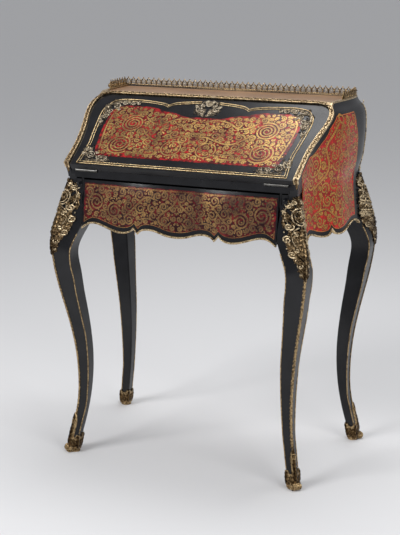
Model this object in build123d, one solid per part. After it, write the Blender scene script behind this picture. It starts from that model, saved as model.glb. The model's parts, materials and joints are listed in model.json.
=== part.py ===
from build123d import *
import math
import os

# Slant-front lady's writing desk in the Louis XV manner: a bombe case on four cabriole legs set at
# 45 degrees, a sloping fall that opens forward into a writing surface, one frieze drawer, and bronze mounts.
# Frame: +X right, -Y front, +Z up, origin on the floor under the middle of the desk. Millimetres.

# ---------------------------------------------------------------- driving dimensions
FOOT_X = 301            # half distance between the front foot centres
FOOT_Y = 185            # front and rear feet stand this far from the middle
REAR_SPLAY = 37         # the back of the case and the rear feet stand this much further out each side
BED_TOP = 742           # height of the writing bed
BED_THICK = 18
CASE_RISE = 168         # from the writing bed to the top edge of the sides
WALL = 18               # thinnest part of a side panel
BACK_THICK = 14
BACK_SET_IN = 9         # the back panel lies this far inside the rear corner posts
TOP_THICK = 16
TOP_RAIL = 20
FALL_THICK = 18
FALL_SLOPE = 34.6       # degrees above the horizontal when closed
FALL_RECESS = 1         # the fall lies this far below the sloping edges of the sides
SLOPE_RIM = 11          # width of a side's sloping edge outside the fall
TOP_DROP = 4.4          # the fall's upper edge lies this far below the top
SHOULDER_RADIUS = 26    # where the sloping edge of a side turns into its top edge
POST_WIDTH = 42         # width of a front corner post
POST_DEPTH = 35         # from a foot's centre to the inner face of its post
KNEE_DROP = 202         # from the writing bed down to the widest part of the knee
APRON_DROP = 127        # from the writing bed down to the top of the apron curves
GALLERY_HEIGHT = 22
GALLERY_THICK = 2.6
GALLERY_PITCH = 15
GALLERY_RUN = 110       # how far the gallery comes forward along each side
TRIM = 3.5              # thickness of the gilt edge mouldings
TRIM_WIDTH = 9
BEAD = 4.5              # height of the gilt bead under an apron
FIT = 0.3               # gap between faces of different bodies
SEAT = 0.15             # gap under a bronze that is laid on a curved face
SLIDE_FIT = 1.0         # side clearance of a drawer, a loper or the fall
LEATHER = 1.0
MOUNT_THICK = 2.8       # bronze mounts on the face of the fall
HINGE_R = 3.4
HINGE_PIN_R = 1.6
HINGE_FIT = 0.05
HINGE_LENGTH = 60
HINGE_INSET = 8         # from the inner face of a post to the middle of its hinge
LEAF_THICK = 1.6
LEAF_WIDTH = 24
SCREW_R = 1.7
SCREW_LENGTH = 10
DRAWER_SIDE = 9
DRAWER_FRONT = 20       # thickness of the drawer front where it is thinnest
DRAWER_BOTTOM = 6
DRAWER_BACK_GAP = 30    # behind the closed drawer
LOPER_WIDTH = 14
LOPER_HEIGHT = 24
LOPER_INSET = 13        # from the inner face of a post to the middle of its loper
LOPER_BACK_GAP = 60     # behind a loper that is pushed in
NEST_DEPTH = 130        # fitted interior, front to back
NEST_GAP = 16           # between the fitted interior and a side
NEST_HEIGHT = 118
NEST_BOARD = 6
NEST_DRAWER_HEIGHT = 42
BOLT_TRAVEL = 9
DRAWER_GAP = 4.5        # above the drawer, so that it also opens under the open fall

# ---------------------------------------------------------------- places worked out from them
SLOPE = math.radians(FALL_SLOPE)
FALL_LENGTH = (CASE_RISE - TOP_DROP) / math.sin(SLOPE) - FALL_THICK / math.tan(SLOPE)
HINGE_Y = -(FOOT_Y + 2)
FRIEZE_Y = -(FOOT_Y + 1)    # face of the frieze just under the writing bed
BACK_Y = FOOT_Y + 2
BACK_INNER_Y = BACK_Y - BACK_SET_IN - BACK_THICK
BED_UNDER = BED_TOP - BED_THICK
CASE_TOP = BED_TOP + CASE_RISE
TOP_UNDER = CASE_TOP - TOP_THICK
KNEE_Z = BED_TOP - KNEE_DROP
APRON_Z = BED_TOP - APRON_DROP
CASE_X = FOOT_X - 3         # outer face of the front posts just under the bed
POST_X = CASE_X - POST_WIDTH
POST_Y = FOOT_Y - POST_DEPTH
HINGE_X = POST_X - HINGE_INSET
LOPER_X = POST_X + LOPER_INSET
GALLERY_FRONT_Y = BACK_Y - GALLERY_RUN
NEST_FRONT = BACK_INNER_Y - NEST_DEPTH
CASE_REACH = FOOT_X + 2 * REAR_SPLAY
SIDE_PROUD = FALL_THICK + FALL_RECESS
LOPER_TOP = BED_TOP - FALL_THICK - MOUNT_THICK - FIT


def slope_point(u, w):
    """(y, z) of a point u up the closed fall from its hinge line and w out of its inner face."""
    return (
        HINGE_Y + u * math.cos(SLOPE) - w * math.sin(SLOPE),
        BED_TOP + u * math.sin(SLOPE) + w * math.cos(SLOPE),
    )


FALL_PLANE = Plane(
    origin=(0, HINGE_Y, BED_TOP),
    x_dir=(1, 0, 0),
    z_dir=(0, -math.sin(SLOPE), math.cos(SLOPE)),
)


def mirrored(shape):
    """The same piece on the other side of the desk."""
    return mirror(shape, about=Plane.YZ)


def slab(x0, x1, y0, y1, z0, z1):
    """A block between two corners."""
    return Pos((x0 + x1) / 2, (y0 + y1) / 2, (z0 + z1) / 2) * Box(x1 - x0, y1 - y0, z1 - z0)


def rod(start, end, radius):
    """A round rod between two points."""
    a = Vector(*start)
    b = Vector(*end)
    return Plane(origin=a, z_dir=b - a) * Cylinder(
        radius, (b - a).length, align=(Align.CENTER, Align.CENTER, Align.MIN)
    )


def together(shapes):
    """Separate solids carried as one piece."""
    return Compound([solid for shape in shapes for solid in shape.solids()])


# ---------------------------------------------------------------- bombe body of the case
# Height above the writing bed, how far the side swells out there, and how much more it does at the back.
SIDE_SWELL = [
    (-162, 14, 0), (-132, 10, 0), (-92, 5.5, 0), (-52, 1.5, 0), (-14, 0.5, 0), (14, 4.5, 3), (49, 6.5, 6),
    (83, 9.5, 6), (117, 9, 6), (134, 5, 8), (149, -4, 10), (160, -17, 12), (168, -22, 12), (177, -26, 12),
]
REAR_SWELL_RUN = 130    # the extra swell at the back grows over this length from the middle
SWEEP_FROM = -0.68      # the sides turn outward between these two shares of the feet's distance
SWEEP_TO = 0.24
CASE_SLICES = 10
CASE_OVERRUN = 1.16     # the case body runs this share past the feet before it is cut
INNER_SPLAY = 0.9       # the inner faces splay a little less than the outer ones


def ease(share):
    """Easy S curve from 0 to 1."""
    share = min(max(share, 0), 1)
    return share * share * (3 - 2 * share)


def splay(y):
    """How far the side at y stands outside its front."""
    return REAR_SPLAY * ease((y / FOOT_Y - SWEEP_FROM) / (SWEEP_TO - SWEEP_FROM))


def side_x(y, swell, rear_swell):
    """Outer face of a side."""
    return CASE_X + splay(y) + swell + rear_swell * ease(y / REAR_SWELL_RUN)


def side_x_at(y, z):
    """Outer face of a side at a height between two slices of SIDE_SWELL."""
    rise = z - BED_TOP
    for (low, swell_a, rear_a), (high, swell_b, rear_b) in zip(SIDE_SWELL, SIDE_SWELL[1:]):
        if low <= rise <= high:
            share = (rise - low) / (high - low)
            return side_x(y, swell_a + share * (swell_b - swell_a), rear_a + share * (rear_b - rear_a))
    return side_x(y, *SIDE_SWELL[-1][1:])


def inner_x(y):
    """Upright inner face of a side."""
    return CASE_X - WALL + INNER_SPLAY * splay(y)


NEST_HALF = inner_x(-POST_Y) - NEST_GAP


def case_stations():
    reach = CASE_OVERRUN * FOOT_Y
    return [i * 2 * reach / (CASE_SLICES - 1) - reach for i in range(CASE_SLICES)]


def case_section(y, inset):
    """Upright slice across the whole case, its sides moved in by inset."""
    right = [(side_x(y, swell, rear) - inset, y, BED_TOP + rise) for rise, swell, rear in SIDE_SWELL]
    left = [(-x, y, z) for x, y, z in right]
    return Face(Wire([
        Spline(*right),
        Line(right[-1], left[-1]),
        Spline(*reversed(left)),
        Line(left[0], right[0]),
    ]))


def case_body(inset=0):
    return loft([case_section(y, inset) for y in case_stations()])


def room_between_sides(z0, z1, clearance=0):
    """Space between the inner faces of the sides, from z0 to z1."""
    right = [(inner_x(y) - clearance, y, z0) for y in case_stations()]
    left = [(-x, y, z) for x, y, z in right]
    plan = Face(Wire([
        Spline(*right),
        Line(right[-1], left[-1]),
        Spline(*reversed(left)),
        Line(left[0], right[0]),
    ]))
    return extrude(plan, amount=z1 - z0, dir=(0, 0, 1))


CASE_OUTER = case_body()
CASE_INNER = room_between_sides(KNEE_Z, CASE_TOP + 40)
BOARD_ROOM = room_between_sides(KNEE_Z, CASE_TOP + 40, FIT)


def side_profile():
    """Foot of the sloping edge, and the ends of the shoulder's curve, in (y, z)."""
    foot = slope_point(0, SIDE_PROUD)
    meet_u = (CASE_TOP - foot[1]) / math.sin(SLOPE)
    tangent = SHOULDER_RADIUS * math.tan(SLOPE / 2)
    meet = slope_point(meet_u, SIDE_PROUD)
    return meet_u - tangent, (meet[0] + tangent, CASE_TOP)


SHOULDER_U, SHOULDER_END = side_profile()


def side_apron():
    """Lower edge of a side from the rear post to the front one: hump, dip, cusp, dip, hump."""
    cusp = (-0.13 * FOOT_Y, APRON_Z + 2)
    return [
        Spline((POST_Y, APRON_Z - 16), (POST_Y * 0.63, APRON_Z - 1), (POST_Y * 0.08, APRON_Z - 15), cusp,
               tangents=[(-1, 1), (-0.45, 1)]),
        Spline(cusp, (-POST_Y * 0.37, APRON_Z - 12), (-POST_Y * 0.64, APRON_Z - 2),
               (-POST_Y, APRON_Z - 24), tangents=[(-0.3, -1), (-0.5, -1)]),
    ]


def side_outline(lift):
    """Outline of a side in the YZ plane, with its sloping and top edges raised by lift."""
    foot = slope_point(0, SIDE_PROUD + lift)
    start = slope_point(SHOULDER_U, SIDE_PROUD + lift)
    end = (SHOULDER_END[0], CASE_TOP + lift)
    chin = (FRIEZE_Y - lift, BED_UNDER)
    edges = [
        ThreePointArc(chin, ((chin[0] + foot[0]) / 2 + 3, (chin[1] + foot[1]) / 2), foot),
        Line(foot, start),
        TangentArc(start, end, tangent=(math.cos(SLOPE), math.sin(SLOPE))),
        Line(end, (BACK_Y, CASE_TOP + lift)),
        Line((BACK_Y, CASE_TOP + lift), (BACK_Y, BED_UNDER)),
        Line((BACK_Y, BED_UNDER), (POST_Y, BED_UNDER)),
        Line((POST_Y, BED_UNDER), (POST_Y, APRON_Z - 16)),
        *side_apron(),
        Line((-POST_Y, APRON_Z - 24), (-POST_Y, BED_UNDER)),
        Line((-POST_Y, BED_UNDER), chin),
    ]
    return Plane.YZ * make_face(edges)


SIDE_PRISM = extrude(side_outline(0), amount=CASE_REACH)
CASE_PRISM = extrude(side_outline(0), amount=CASE_REACH, both=True)


def fall_half(u):
    """Half width of the fall, u up from the hinge line: it keeps the case's outline, inside the rims."""
    y, z = slope_point(u, FALL_THICK)
    return side_x_at(y, z) - SLOPE_RIM - 1.5 * SLIDE_FIT


FALL_SHARES = [0.1, 0.23, 0.35, 0.46, 0.57, 0.69, 0.8, 0.885, 0.945]
FALL_CORNER = 32        # the rounded upper corner of the fall starts this far in from its side


def fall_outline(gap, low):
    """Outline of the fall from u = low up, with gap added at its sides and top."""
    foot = (fall_half(0) + gap, low)
    side = [(fall_half(share * FALL_LENGTH) + gap, share * FALL_LENGTH) for share in FALL_SHARES]
    top = (fall_half(FALL_LENGTH * 0.97) - FALL_CORNER, FALL_LENGTH + gap)
    right = [
        Spline(foot, *side, top, tangents=[(0, 1), (-1, 0)]),
        Line(top, (0, top[1])),
        Line((0, low), foot),
    ]
    return make_face(right + [mirror(edge, about=Plane.YZ) for edge in right])


def fall_room():
    """Everything above the inner face of the closed fall, with the clearance that lets it swing out."""
    above = extrude(fall_outline(1.5 * SLIDE_FIT, -3 * FALL_THICK), amount=6 * FALL_THICK)
    half = fall_half(0) + 1.5 * SLIDE_FIT
    swing = rod((-half, HINGE_Y, BED_TOP), (half, HINGE_Y, BED_TOP), FALL_THICK + SLIDE_FIT)
    front = slab(-half, half, HINGE_Y - 2 * FALL_THICK, HINGE_Y + FIT,
                 BED_TOP - 2 * FALL_THICK, BED_TOP + FALL_THICK)
    return FALL_PLANE * Pos(0, 0, -FIT) * above + (swing & front)


FALL_ROOM = fall_room()


def side_panel():
    under_top = slab(0, CASE_REACH, -CASE_REACH, CASE_REACH, 0, TOP_UNDER)
    return (CASE_OUTER & SIDE_PRISM & under_top) - CASE_INNER - FALL_ROOM


def edge_band():
    """Gilt band round the fall: up the sloping edges, along the front of the top and back along its sides."""
    lifted = extrude(side_outline(TRIM), amount=CASE_REACH, both=True)
    seat = extrude(side_outline(SEAT), amount=CASE_REACH, both=True)
    zone = slab(-CASE_REACH, CASE_REACH, -CASE_REACH, BACK_Y, BED_TOP + 6, CASE_TOP + TRIM + 1)
    middle = case_body(TRIM_WIDTH) & slab(
        -CASE_REACH, CASE_REACH, SHOULDER_END[0] - 3, CASE_REACH, TOP_UNDER, CASE_TOP + TRIM + 5
    )
    return ((lifted - seat) & zone & case_body(-1)) - middle - FALL_ROOM


EDGE_BAND = edge_band()
BAND_SPLIT = 240        # the side bands take over from the front one this far from the middle


def slant_moulding():
    return EDGE_BAND & slab(BAND_SPLIT, CASE_REACH, -CASE_REACH, CASE_REACH, 0, 2 * CASE_TOP)


def side_apron_bead():
    """Gilt bead along the lower edge of a side between its posts."""
    lowered = Pos(0, 0, -BEAD) * SIDE_PRISM
    zone = slab(0, CASE_REACH, -POST_Y + 1, POST_Y - 1, KNEE_Z, APRON_Z + 8)
    edge = lowered - Pos(0, 0, -SEAT) * SIDE_PRISM
    return (edge & zone & case_body(-2)) - case_body(BEAD)


# ---------------------------------------------------------------- legs
# Share of the knee's height, offset of the leg's axis along its diagonal, and side of its square section.
LEG_STATIONS = [
    (0.010, 0.5, 21), (0.058, -3, 22.5), (0.129, -13.5, 23.5), (0.206, -24, 24), (0.287, -31.5, 25.5),
    (0.389, -35, 29), (0.491, -33.5, 32.5), (0.603, -26, 36.5), (0.713, -14.5, 41), (0.806, -3.5, 45),
    (0.908, 6.5, 48.5), (1.0, 12, 50),
]
# Drop below the writing bed of each slice of the corner post, then how far its outer ridge stands out
# sideways and forwards, how far its side corner stands out, and how far its front corner does.
POST_STATIONS = [(92, 22, 14, 5.5, 11), (52, 9, 5, 1.5, 4), (18, 0, 0, 0, 0)]
LEG_EDGE = 3.0
LEG_BEAD = 2.6          # thickness of the bead down a leg's corner


# The corners of a slice of a leg, as directions from its heart.
RIDGE, SIDE_CORNER, INNER_CORNER, FRONT_CORNER = range(4)
AWAY = [(1, -1), (1, 1), (-1, 1), (-1, -1)]


def quad_section(z, corners, grow, radius=LEG_EDGE):
    """Four-cornered slice of a leg with soft corners, grown on every side."""
    points = [(x + dx * grow, y + dy * grow, z) for (x, y), (dx, dy) in zip(corners, AWAY)]
    return Face(Wire(FilletPolyline(*points, radius=radius, close=True).edges()))


def leg_corners():
    """Height and four corners of each slice of the front right leg, from the foot up."""
    slices = []
    for share, offset, size in LEG_STATIONS:
        cx = FOOT_X + offset / math.sqrt(2)
        cy = -FOOT_Y - offset / math.sqrt(2)
        h = size / 2
        slices.append((share * KNEE_Z, [
            (cx + h, cy - h), (cx + h, cy + h), (cx - h, cy + h), (cx - h, cy - h),
        ]))
    slices.append((APRON_Z - 35, [
        (FOOT_X + 33, -FOOT_Y - 31.5), (FOOT_X + 20, -POST_Y - 10),
        (POST_X + 14, -POST_Y - 10), (POST_X + 14, -FOOT_Y - 26),
    ]))
    slices.append((APRON_Z, [
        (FOOT_X + 27.5, -FOOT_Y - 23), (CASE_X + 9.2, -POST_Y), (POST_X, -POST_Y), (POST_X, -FOOT_Y - 18),
    ]))
    for drop, ridge_x, ridge_y, side_x, front_y in POST_STATIONS:
        slices.append((BED_TOP - drop, [
            (CASE_X + ridge_x, FRIEZE_Y - ridge_y), (CASE_X + side_x, -POST_Y),
            (POST_X, -POST_Y), (POST_X, FRIEZE_Y - front_y),
        ]))
    return slices


def leg_body(grow=0):
    return loft([quad_section(z, corners, grow) for z, corners in leg_corners()])


POST_FOOT = APRON_Z - 45


def post_square(shape):
    """Keeps the inner faces of a corner post flat, where the side and the drawer meet it."""
    high = CASE_TOP
    shape -= slab(0, POST_X, -CASE_REACH, 0, POST_FOOT, high)
    return shape - slab(0, CASE_REACH, -POST_Y, 0, POST_FOOT, high)


LEG = post_square(leg_body())
DIAGONAL = Plane(origin=(FOOT_X, -FOOT_Y, 0), x_dir=(1, 1, 0), z_dir=(1, -1, 0))


def to_rear(shape):
    """Turns a piece of the front right leg into that of the rear right leg."""
    return Pos(REAR_SPLAY, 0, 0) * mirror(shape, about=Plane.XZ)


def front_leg():
    notch = slab(
        LOPER_X - LOPER_WIDTH / 2 - SLIDE_FIT, LOPER_X + LOPER_WIDTH / 2 + SLIDE_FIT,
        -2 * FOOT_Y, 0, LOPER_TOP - LOPER_HEIGHT - FIT, BED_TOP,
    )
    return LEG - notch


def diagonal_prism(outline):
    """What lies behind an outline seen along the leg's diagonal, given in (sideways, up)."""
    return extrude(DIAGONAL * Pos(0, 0, -12) * outline, amount=90)


MOUNT_GROW = 7          # how far a knee mount stands out from the leg
MOUNT_FOOT = KNEE_Z - 14


def corner_mount():
    """Bronze knee mount: scroll, oval cartouche and acanthus mass, tapering to a bud on the leg."""
    # Share of the mount's height from the tip up, and half width.
    shape = [
        (0.0, 1.5), (0.06, 6), (0.135, 8), (0.20, 13), (0.28, 22), (0.385, 28), (0.515, 30), (0.62, 24),
        (0.667, 21), (0.75, 27), (0.83, 25), (0.89, 15), (0.953, 8), (1.0, 5),
    ]
    height = BED_UNDER - 6 - MOUNT_FOOT
    right = [(half, MOUNT_FOOT + share * height) for share, half in shape]
    left = [(-x, z) for x, z in right]
    face = make_face([
        Spline(*right), Line(right[-1], left[-1]), Spline(*reversed(left)), Line(left[0], right[0]),
    ])
    return (leg_body(MOUNT_GROW) - leg_body(0.4)) & diagonal_prism(face)


def ridge_bar(arm, grow):
    """Square bar that runs up the outer ridge of the leg and wraps it by arm on both sides."""
    slices = []
    for z, corners in leg_corners()[:len(LEG_STATIONS)]:
        x, y = corners[RIDGE]
        around = [(x, y), (x, y + arm), (x - arm, y + arm), (x - arm, y)]
        slices.append(quad_section(z, around, grow))
    return loft(slices)


def bead_bar(corner):
    """Thin bar that lies on a rounded corner of the leg, from the shoe up into the apron's curve."""
    away = Vector(*AWAY[corner]).normalized()
    across = Vector(-away.Y, away.X)
    inner = 3 * SEAT - LEG_EDGE * (math.sqrt(2) - 1)
    sections = []
    for z, corners in leg_corners()[:len(LEG_STATIONS) + 2]:
        heart = Vector(*corners[corner], z)
        points = [
            heart + away * out + across * side
            for out, side in ((inner, -LEG_BEAD / 2), (inner + LEG_BEAD, -LEG_BEAD / 2),
                              (inner + LEG_BEAD, LEG_BEAD / 2), (inner, LEG_BEAD / 2))
        ]
        sections.append(Face(Wire(Polyline(*points, close=True).edges())))
    return loft(sections)


def leg_strips():
    """Chain of husks down the outer ridge of a leg, and a bead down the corner on each side of it."""
    low = SHOE_TOP + FIT
    chain = ridge_bar(4, 2) - leg_body(SEAT)
    strips = [chain & slab(0, CASE_REACH, -CASE_REACH, 0, TONGUE_TOP + FIT, MOUNT_FOOT - 1)]
    for corner in (SIDE_CORNER, FRONT_CORNER):
        strips.append(post_square(bead_bar(corner) & slab(0, CASE_REACH, -CASE_REACH, 0, low, APRON_Z - 22)))
    return together(strips)


SHOE_TOP = 46
TONGUE_TOP = 104        # the shoe's leaf on the outer ridge reaches this high
SHOE_GROW = 3
TOE_R = 9.5
TOE_OUT = 16            # from the foot's centre out to the middle of the toe's scroll
SOLE_R = 14


def shoe():
    """Bronze shoe: a low leafy cup with a tongue up the ridge, ending in a scrolled toe."""
    ankle = leg_body(SEAT)
    skin = leg_body(SHOE_GROW) - ankle
    cup = skin & slab(0, 2 * CASE_REACH, -CASE_REACH, 0, 0, SHOE_TOP)
    scoop = Cylinder(7.5, 90)
    middle = Pos(FOOT_X - 2, -FOOT_Y + 2, SHOE_TOP)
    cup -= middle * Rot(90, 0, 0) * scoop
    cup -= middle * Rot(0, 90, 0) * scoop
    half_tongue = [(7, 20), (7, TONGUE_TOP - 26), (4, TONGUE_TOP - 12), (0, TONGUE_TOP)]
    other_half = [(-x, z) for x, z in half_tongue[-2::-1]]
    tongue = make_face(Polyline(*half_tongue, *other_half, close=True).edges())
    toe = DIAGONAL * Pos(0, TOE_R, TOE_OUT) * Rot(0, 90, 0) * Cylinder(TOE_R, 20)
    eye = DIAGONAL * Pos(0, TOE_R, TOE_OUT) * Rot(0, 90, 0) * Cylinder(TOE_R * 0.4, 26)
    sole = Pos(FOOT_X, -FOOT_Y, 0) * Cylinder(SOLE_R, 9, align=(Align.CENTER, Align.CENTER, Align.MIN))
    return cup + (skin & diagonal_prism(tongue)) + ((toe + eye + sole) - ankle)


# ---------------------------------------------------------------- fixed boards of the case
def writing_bed():
    bed = BOARD_ROOM & slab(-CASE_REACH, CASE_REACH, HINGE_Y, BACK_INNER_Y, BED_UNDER, BED_TOP)
    bed -= rod((-HINGE_X - HINGE_LENGTH / 2 - FIT, HINGE_Y, BED_TOP),
               (-HINGE_X + HINGE_LENGTH / 2 + FIT, HINGE_Y, BED_TOP), HINGE_R + FIT)
    bed -= rod((HINGE_X - HINGE_LENGTH / 2 - FIT, HINGE_Y, BED_TOP),
               (HINGE_X + HINGE_LENGTH / 2 + FIT, HINGE_Y, BED_TOP), HINGE_R + FIT)
    for x in (-HINGE_X, HINGE_X):
        bed -= slab(x - HINGE_LENGTH / 2, x + HINGE_LENGTH / 2, HINGE_Y, HINGE_Y + LEAF_WIDTH,
                    BED_TOP - LEAF_THICK, BED_TOP + 1)
    return bed - bed_screws()


def top_board():
    """Board that covers the sides; its edges carry on their curve."""
    board = CASE_OUTER & CASE_PRISM & slab(-CASE_REACH, CASE_REACH, -FOOT_Y, BACK_Y, TOP_UNDER, CASE_TOP)
    return board - FALL_ROOM - bolt_pocket()


def top_moulding():
    """Gilt lip along the front edge of the top board."""
    return EDGE_BAND & slab(-BAND_SPLIT, BAND_SPLIT, -CASE_REACH, CASE_REACH, 0, 2 * CASE_TOP)


def bolt_pocket():
    """Where the bolt of the fall's lock goes in."""
    return FALL_PLANE * Pos(0, FALL_LENGTH, BOLT_W) * Box(
        2 * BOLT_HALF + 2, 2 * BOLT_TRAVEL + 6, BOLT_THICK + 2
    )


def top_rail():
    """Stop that the closed fall lies against, its face along the slope."""
    back = slope_point(FALL_LENGTH, 0)[0] + TOP_RAIL * 0.8
    rail = BOARD_ROOM & slab(-CASE_REACH, CASE_REACH, -FOOT_Y, back, TOP_UNDER - TOP_RAIL, TOP_UNDER)
    beyond = FALL_PLANE * slab(-CASE_REACH, CASE_REACH, -CASE_REACH, CASE_REACH, -FIT, CASE_REACH)
    return rail - beyond - bolt_pocket()


def back_panel():
    upper = BOARD_ROOM & slab(
        -CASE_REACH, CASE_REACH, BACK_INNER_Y, BACK_INNER_Y + BACK_THICK, BED_UNDER, TOP_UNDER
    )
    half = POST_X + REAR_SPLAY - FIT
    low = APRON_Z - 16
    outline = make_face([
        Line((-half, BED_UNDER), (-half, low)),
        Spline((-half, low), (-half * 0.72, low + 18), (0, low + 4), (half * 0.72, low + 18), (half, low),
               tangents=[(1, 1.4), (1, -1.4)]),
        Line((half, low), (half, BED_UNDER)),
        Line((half, BED_UNDER), (-half, BED_UNDER)),
    ])
    lower = extrude(Plane.XZ.offset(-BACK_INNER_Y) * outline, amount=-BACK_THICK)
    return upper + lower


def drawer_runner():
    """Rail under one side of the drawer, from the front post to the back panel, with its upright guide."""
    rail = slab(DRAWER_HALF - 12, CASE_X - WALL - SLIDE_FIT, -POST_Y, BACK_INNER_Y, DRAWER_LOW - 10, DRAWER_LOW)
    guide = slab(DRAWER_HALF + SLIDE_FIT, DRAWER_HALF + SLIDE_FIT + 8, -POST_Y, BACK_INNER_Y,
                 DRAWER_LOW, DRAWER_LOW + 30)
    return rail + guide


def loper_guide():
    """Shelf that a loper slides on, with a fence each side."""
    low = LOPER_TOP - LOPER_HEIGHT - FIT
    shelf = slab(LOPER_X - LOPER_WIDTH / 2 - 4, CASE_X - WALL - SLIDE_FIT, -POST_Y, BACK_INNER_Y, low - 9, low)
    inner = LOPER_X - LOPER_WIDTH / 2 - SLIDE_FIT
    fence = slab(inner - 3, inner, -POST_Y, BACK_INNER_Y, low, BED_UNDER)
    return shelf + fence


# ---------------------------------------------------------------- fall
FALL_HALF = fall_half(0)
FILLET_HALF = FALL_HALF - 12
FALL_LEATHER_HALF = FALL_HALF - 46
FALL_LEATHER_LOW = LEAF_WIDTH + 14
FALL_LEATHER_HIGH = FALL_LENGTH - 34
BOLT_HALF = 7
BOLT_THICK = 3
BOLT_W = 5.2            # middle of the bolt, out from the fall's inner face
LOCK_HALF = 22
LOCK_DEPTH = 34
LOCK_THICK = 9


def fall_panel():
    panel = extrude(fall_outline(0, FIT), amount=FALL_THICK)
    for x in (-HINGE_X, HINGE_X):
        panel -= Pos(x, 0, 0) * Rot(0, 90, 0) * Cylinder(HINGE_R + FIT, HINGE_LENGTH + 2 * FIT)
        panel -= slab(x - HINGE_LENGTH / 2, x + HINGE_LENGTH / 2, 0, LEAF_WIDTH, -1, LEAF_THICK)
    panel -= slab(-FALL_LEATHER_HALF, FALL_LEATHER_HALF, FALL_LEATHER_LOW, FALL_LEATHER_HIGH, -1, LEATHER)
    panel -= slab(-LOCK_HALF, LOCK_HALF, FALL_LENGTH - LOCK_DEPTH, FALL_LENGTH + 1, -1, LOCK_THICK)
    return FALL_PLANE * panel - fall_screws()


def fall_leather():
    return FALL_PLANE * slab(
        -FALL_LEATHER_HALF, FALL_LEATHER_HALF, FALL_LEATHER_LOW, FALL_LEATHER_HIGH, 0, LEATHER
    )


def fall_lock():
    """Brass lock let into the inner face of the fall at its top edge, with the bolt's way through it."""
    case = slab(-LOCK_HALF, LOCK_HALF, FALL_LENGTH - LOCK_DEPTH, FALL_LENGTH, 0, LOCK_THICK)
    way = slab(-BOLT_HALF - 0.3, BOLT_HALF + 0.3, FALL_LENGTH - 24, FALL_LENGTH + 1,
               BOLT_W - BOLT_THICK / 2 - 0.3, BOLT_W + BOLT_THICK / 2 + 0.3)
    keyhole = Pos(0, KEY_U, 0) * Cylinder(KEYHOLE_R, 30)
    return FALL_PLANE * (case - way - keyhole)


def fall_bolt():
    return FALL_PLANE * slab(
        -BOLT_HALF, BOLT_HALF, FALL_LENGTH - 22, FALL_LENGTH - 0.5,
        BOLT_W - BOLT_THICK / 2, BOLT_W + BOLT_THICK / 2,
    )


def fillet_line(inset):
    """Outline of the gilt double fillet on the face of the fall, moved in by inset."""
    low = 6 + inset
    top = FALL_LENGTH - 16 - inset
    edge = FILLET_HALF - 4 - inset
    cusp = (FILLET_HALF * 0.39, top - 15)
    shoulder = (FILLET_HALF * 0.8, top)
    right = [
        Line((0, low), (edge, low)),
        Spline((edge, low), (edge - 4, FALL_LENGTH * 0.27), (edge + 3, FALL_LENGTH * 0.5),
               (edge + 8, FALL_LENGTH * 0.75), (edge - 16, top - 7), shoulder,
               tangents=[(-0.1, 1), (-1, 0.05)]),
        Spline(shoulder, (FILLET_HALF * 0.59, top - 2), cusp, tangents=[(-1, 0.05), (-1, -0.35)]),
        Spline(cusp, (FILLET_HALF * 0.27, top - 1), (0, top + 6), tangents=[(-1, 0.9), (-1, 0)]),
    ]
    left = [mirror(edge, about=Plane.YZ) for edge in right]
    return make_face(right + left)


FILLET_WIDTH = 5
FILLET_PROUD = 1.6
KEY_U = FALL_LENGTH - 20    # the keyhole's place up the fall
KEYHOLE_R = 2.2
CARTOUCHE_NECK = 23         # half width of the gap that the fillet leaves for the cartouche


def cartouche():
    """Outline of the escutcheon, on the face of the fall. Offsets are from the keyhole."""
    right = [(0, -45), (15, -38), (34, -34), (39, -20), (27, -12), (19, 5), (0, 14)]
    left = [(-x, u) for x, u in right[-2:0:-1]]
    return make_face(Spline(*[(x, KEY_U + u) for x, u in right + left], periodic=True))


def fall_fillet():
    outer = extrude(fillet_line(0), amount=FILLET_PROUD)
    ring = outer - extrude(fillet_line(FILLET_WIDTH), amount=FILLET_PROUD)
    room = slab(-CARTOUCHE_NECK, CARTOUCHE_NECK, KEY_U - 10, FALL_LENGTH, -1, FILLET_PROUD + 1)
    return FALL_PLANE * Pos(0, 0, FALL_THICK) * (ring - room)


def leaf(outline, hole, x, u):
    """Pierced cast leaf on the face of the fall; its points are (inward, up) from a corner at (x, u)."""
    plate = Face(Wire(Spline(*[(x - dx, u + du) for dx, du in outline], periodic=True)))
    piercing = Face(Wire(Spline(*[(x - dx, u + du) for dx, du in hole], periodic=True)))
    up = (0, 0, 1)
    return extrude(plate, amount=MOUNT_THICK, dir=up) - extrude(piercing, amount=MOUNT_THICK, dir=up)


def fall_corner_mounts():
    """Pierced foliate mounts inside the four corners of the fillet."""
    upper = leaf(
        [(12, -102), (11, -68), (28, -42), (65, -30), (83, -36), (73, -46), (42, -52), (28, -72)],
        [(19, -80), (21, -60), (40, -45), (50, -41), (35, -57)],
        FILLET_HALF, FALL_LENGTH,
    )
    lower = leaf(
        [(21, 72), (18, 48), (22, 22), (47, 18), (72, 23), (74, 36), (57, 34), (35, 41)],
        [(26, 45), (29, 28), (46, 24), (50, 28), (35, 33)],
        FILLET_HALF, 0,
    )
    right = upper + lower
    both = together([right, mirror(right, about=Plane.YZ)])
    return FALL_PLANE * Pos(0, 0, FALL_THICK) * both


def fall_escutcheon():
    """Pierced cartouche round the keyhole of the fall."""
    plate = extrude(cartouche(), amount=MOUNT_THICK)
    boss = Pos(0, KEY_U, 0) * Cylinder(9, DRAWER_GAP - 0.5, align=(Align.CENTER, Align.CENTER, Align.MIN))
    holes = Pos(0, KEY_U, 0) * Cylinder(KEYHOLE_R, 40)
    for x in (-24, 24):
        holes += Pos(x, KEY_U - 24, 0) * Cylinder(4, 12)
    return FALL_PLANE * Pos(0, 0, FALL_THICK) * (plate + boss - holes)


# ---------------------------------------------------------------- hinges
def hinge_screw_places():
    return [
        (x + dx, LEAF_WIDTH * 0.62) for x in (-HINGE_X, HINGE_X)
        for dx in (-HINGE_LENGTH / 3, 0, HINGE_LENGTH / 3)
    ]


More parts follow.
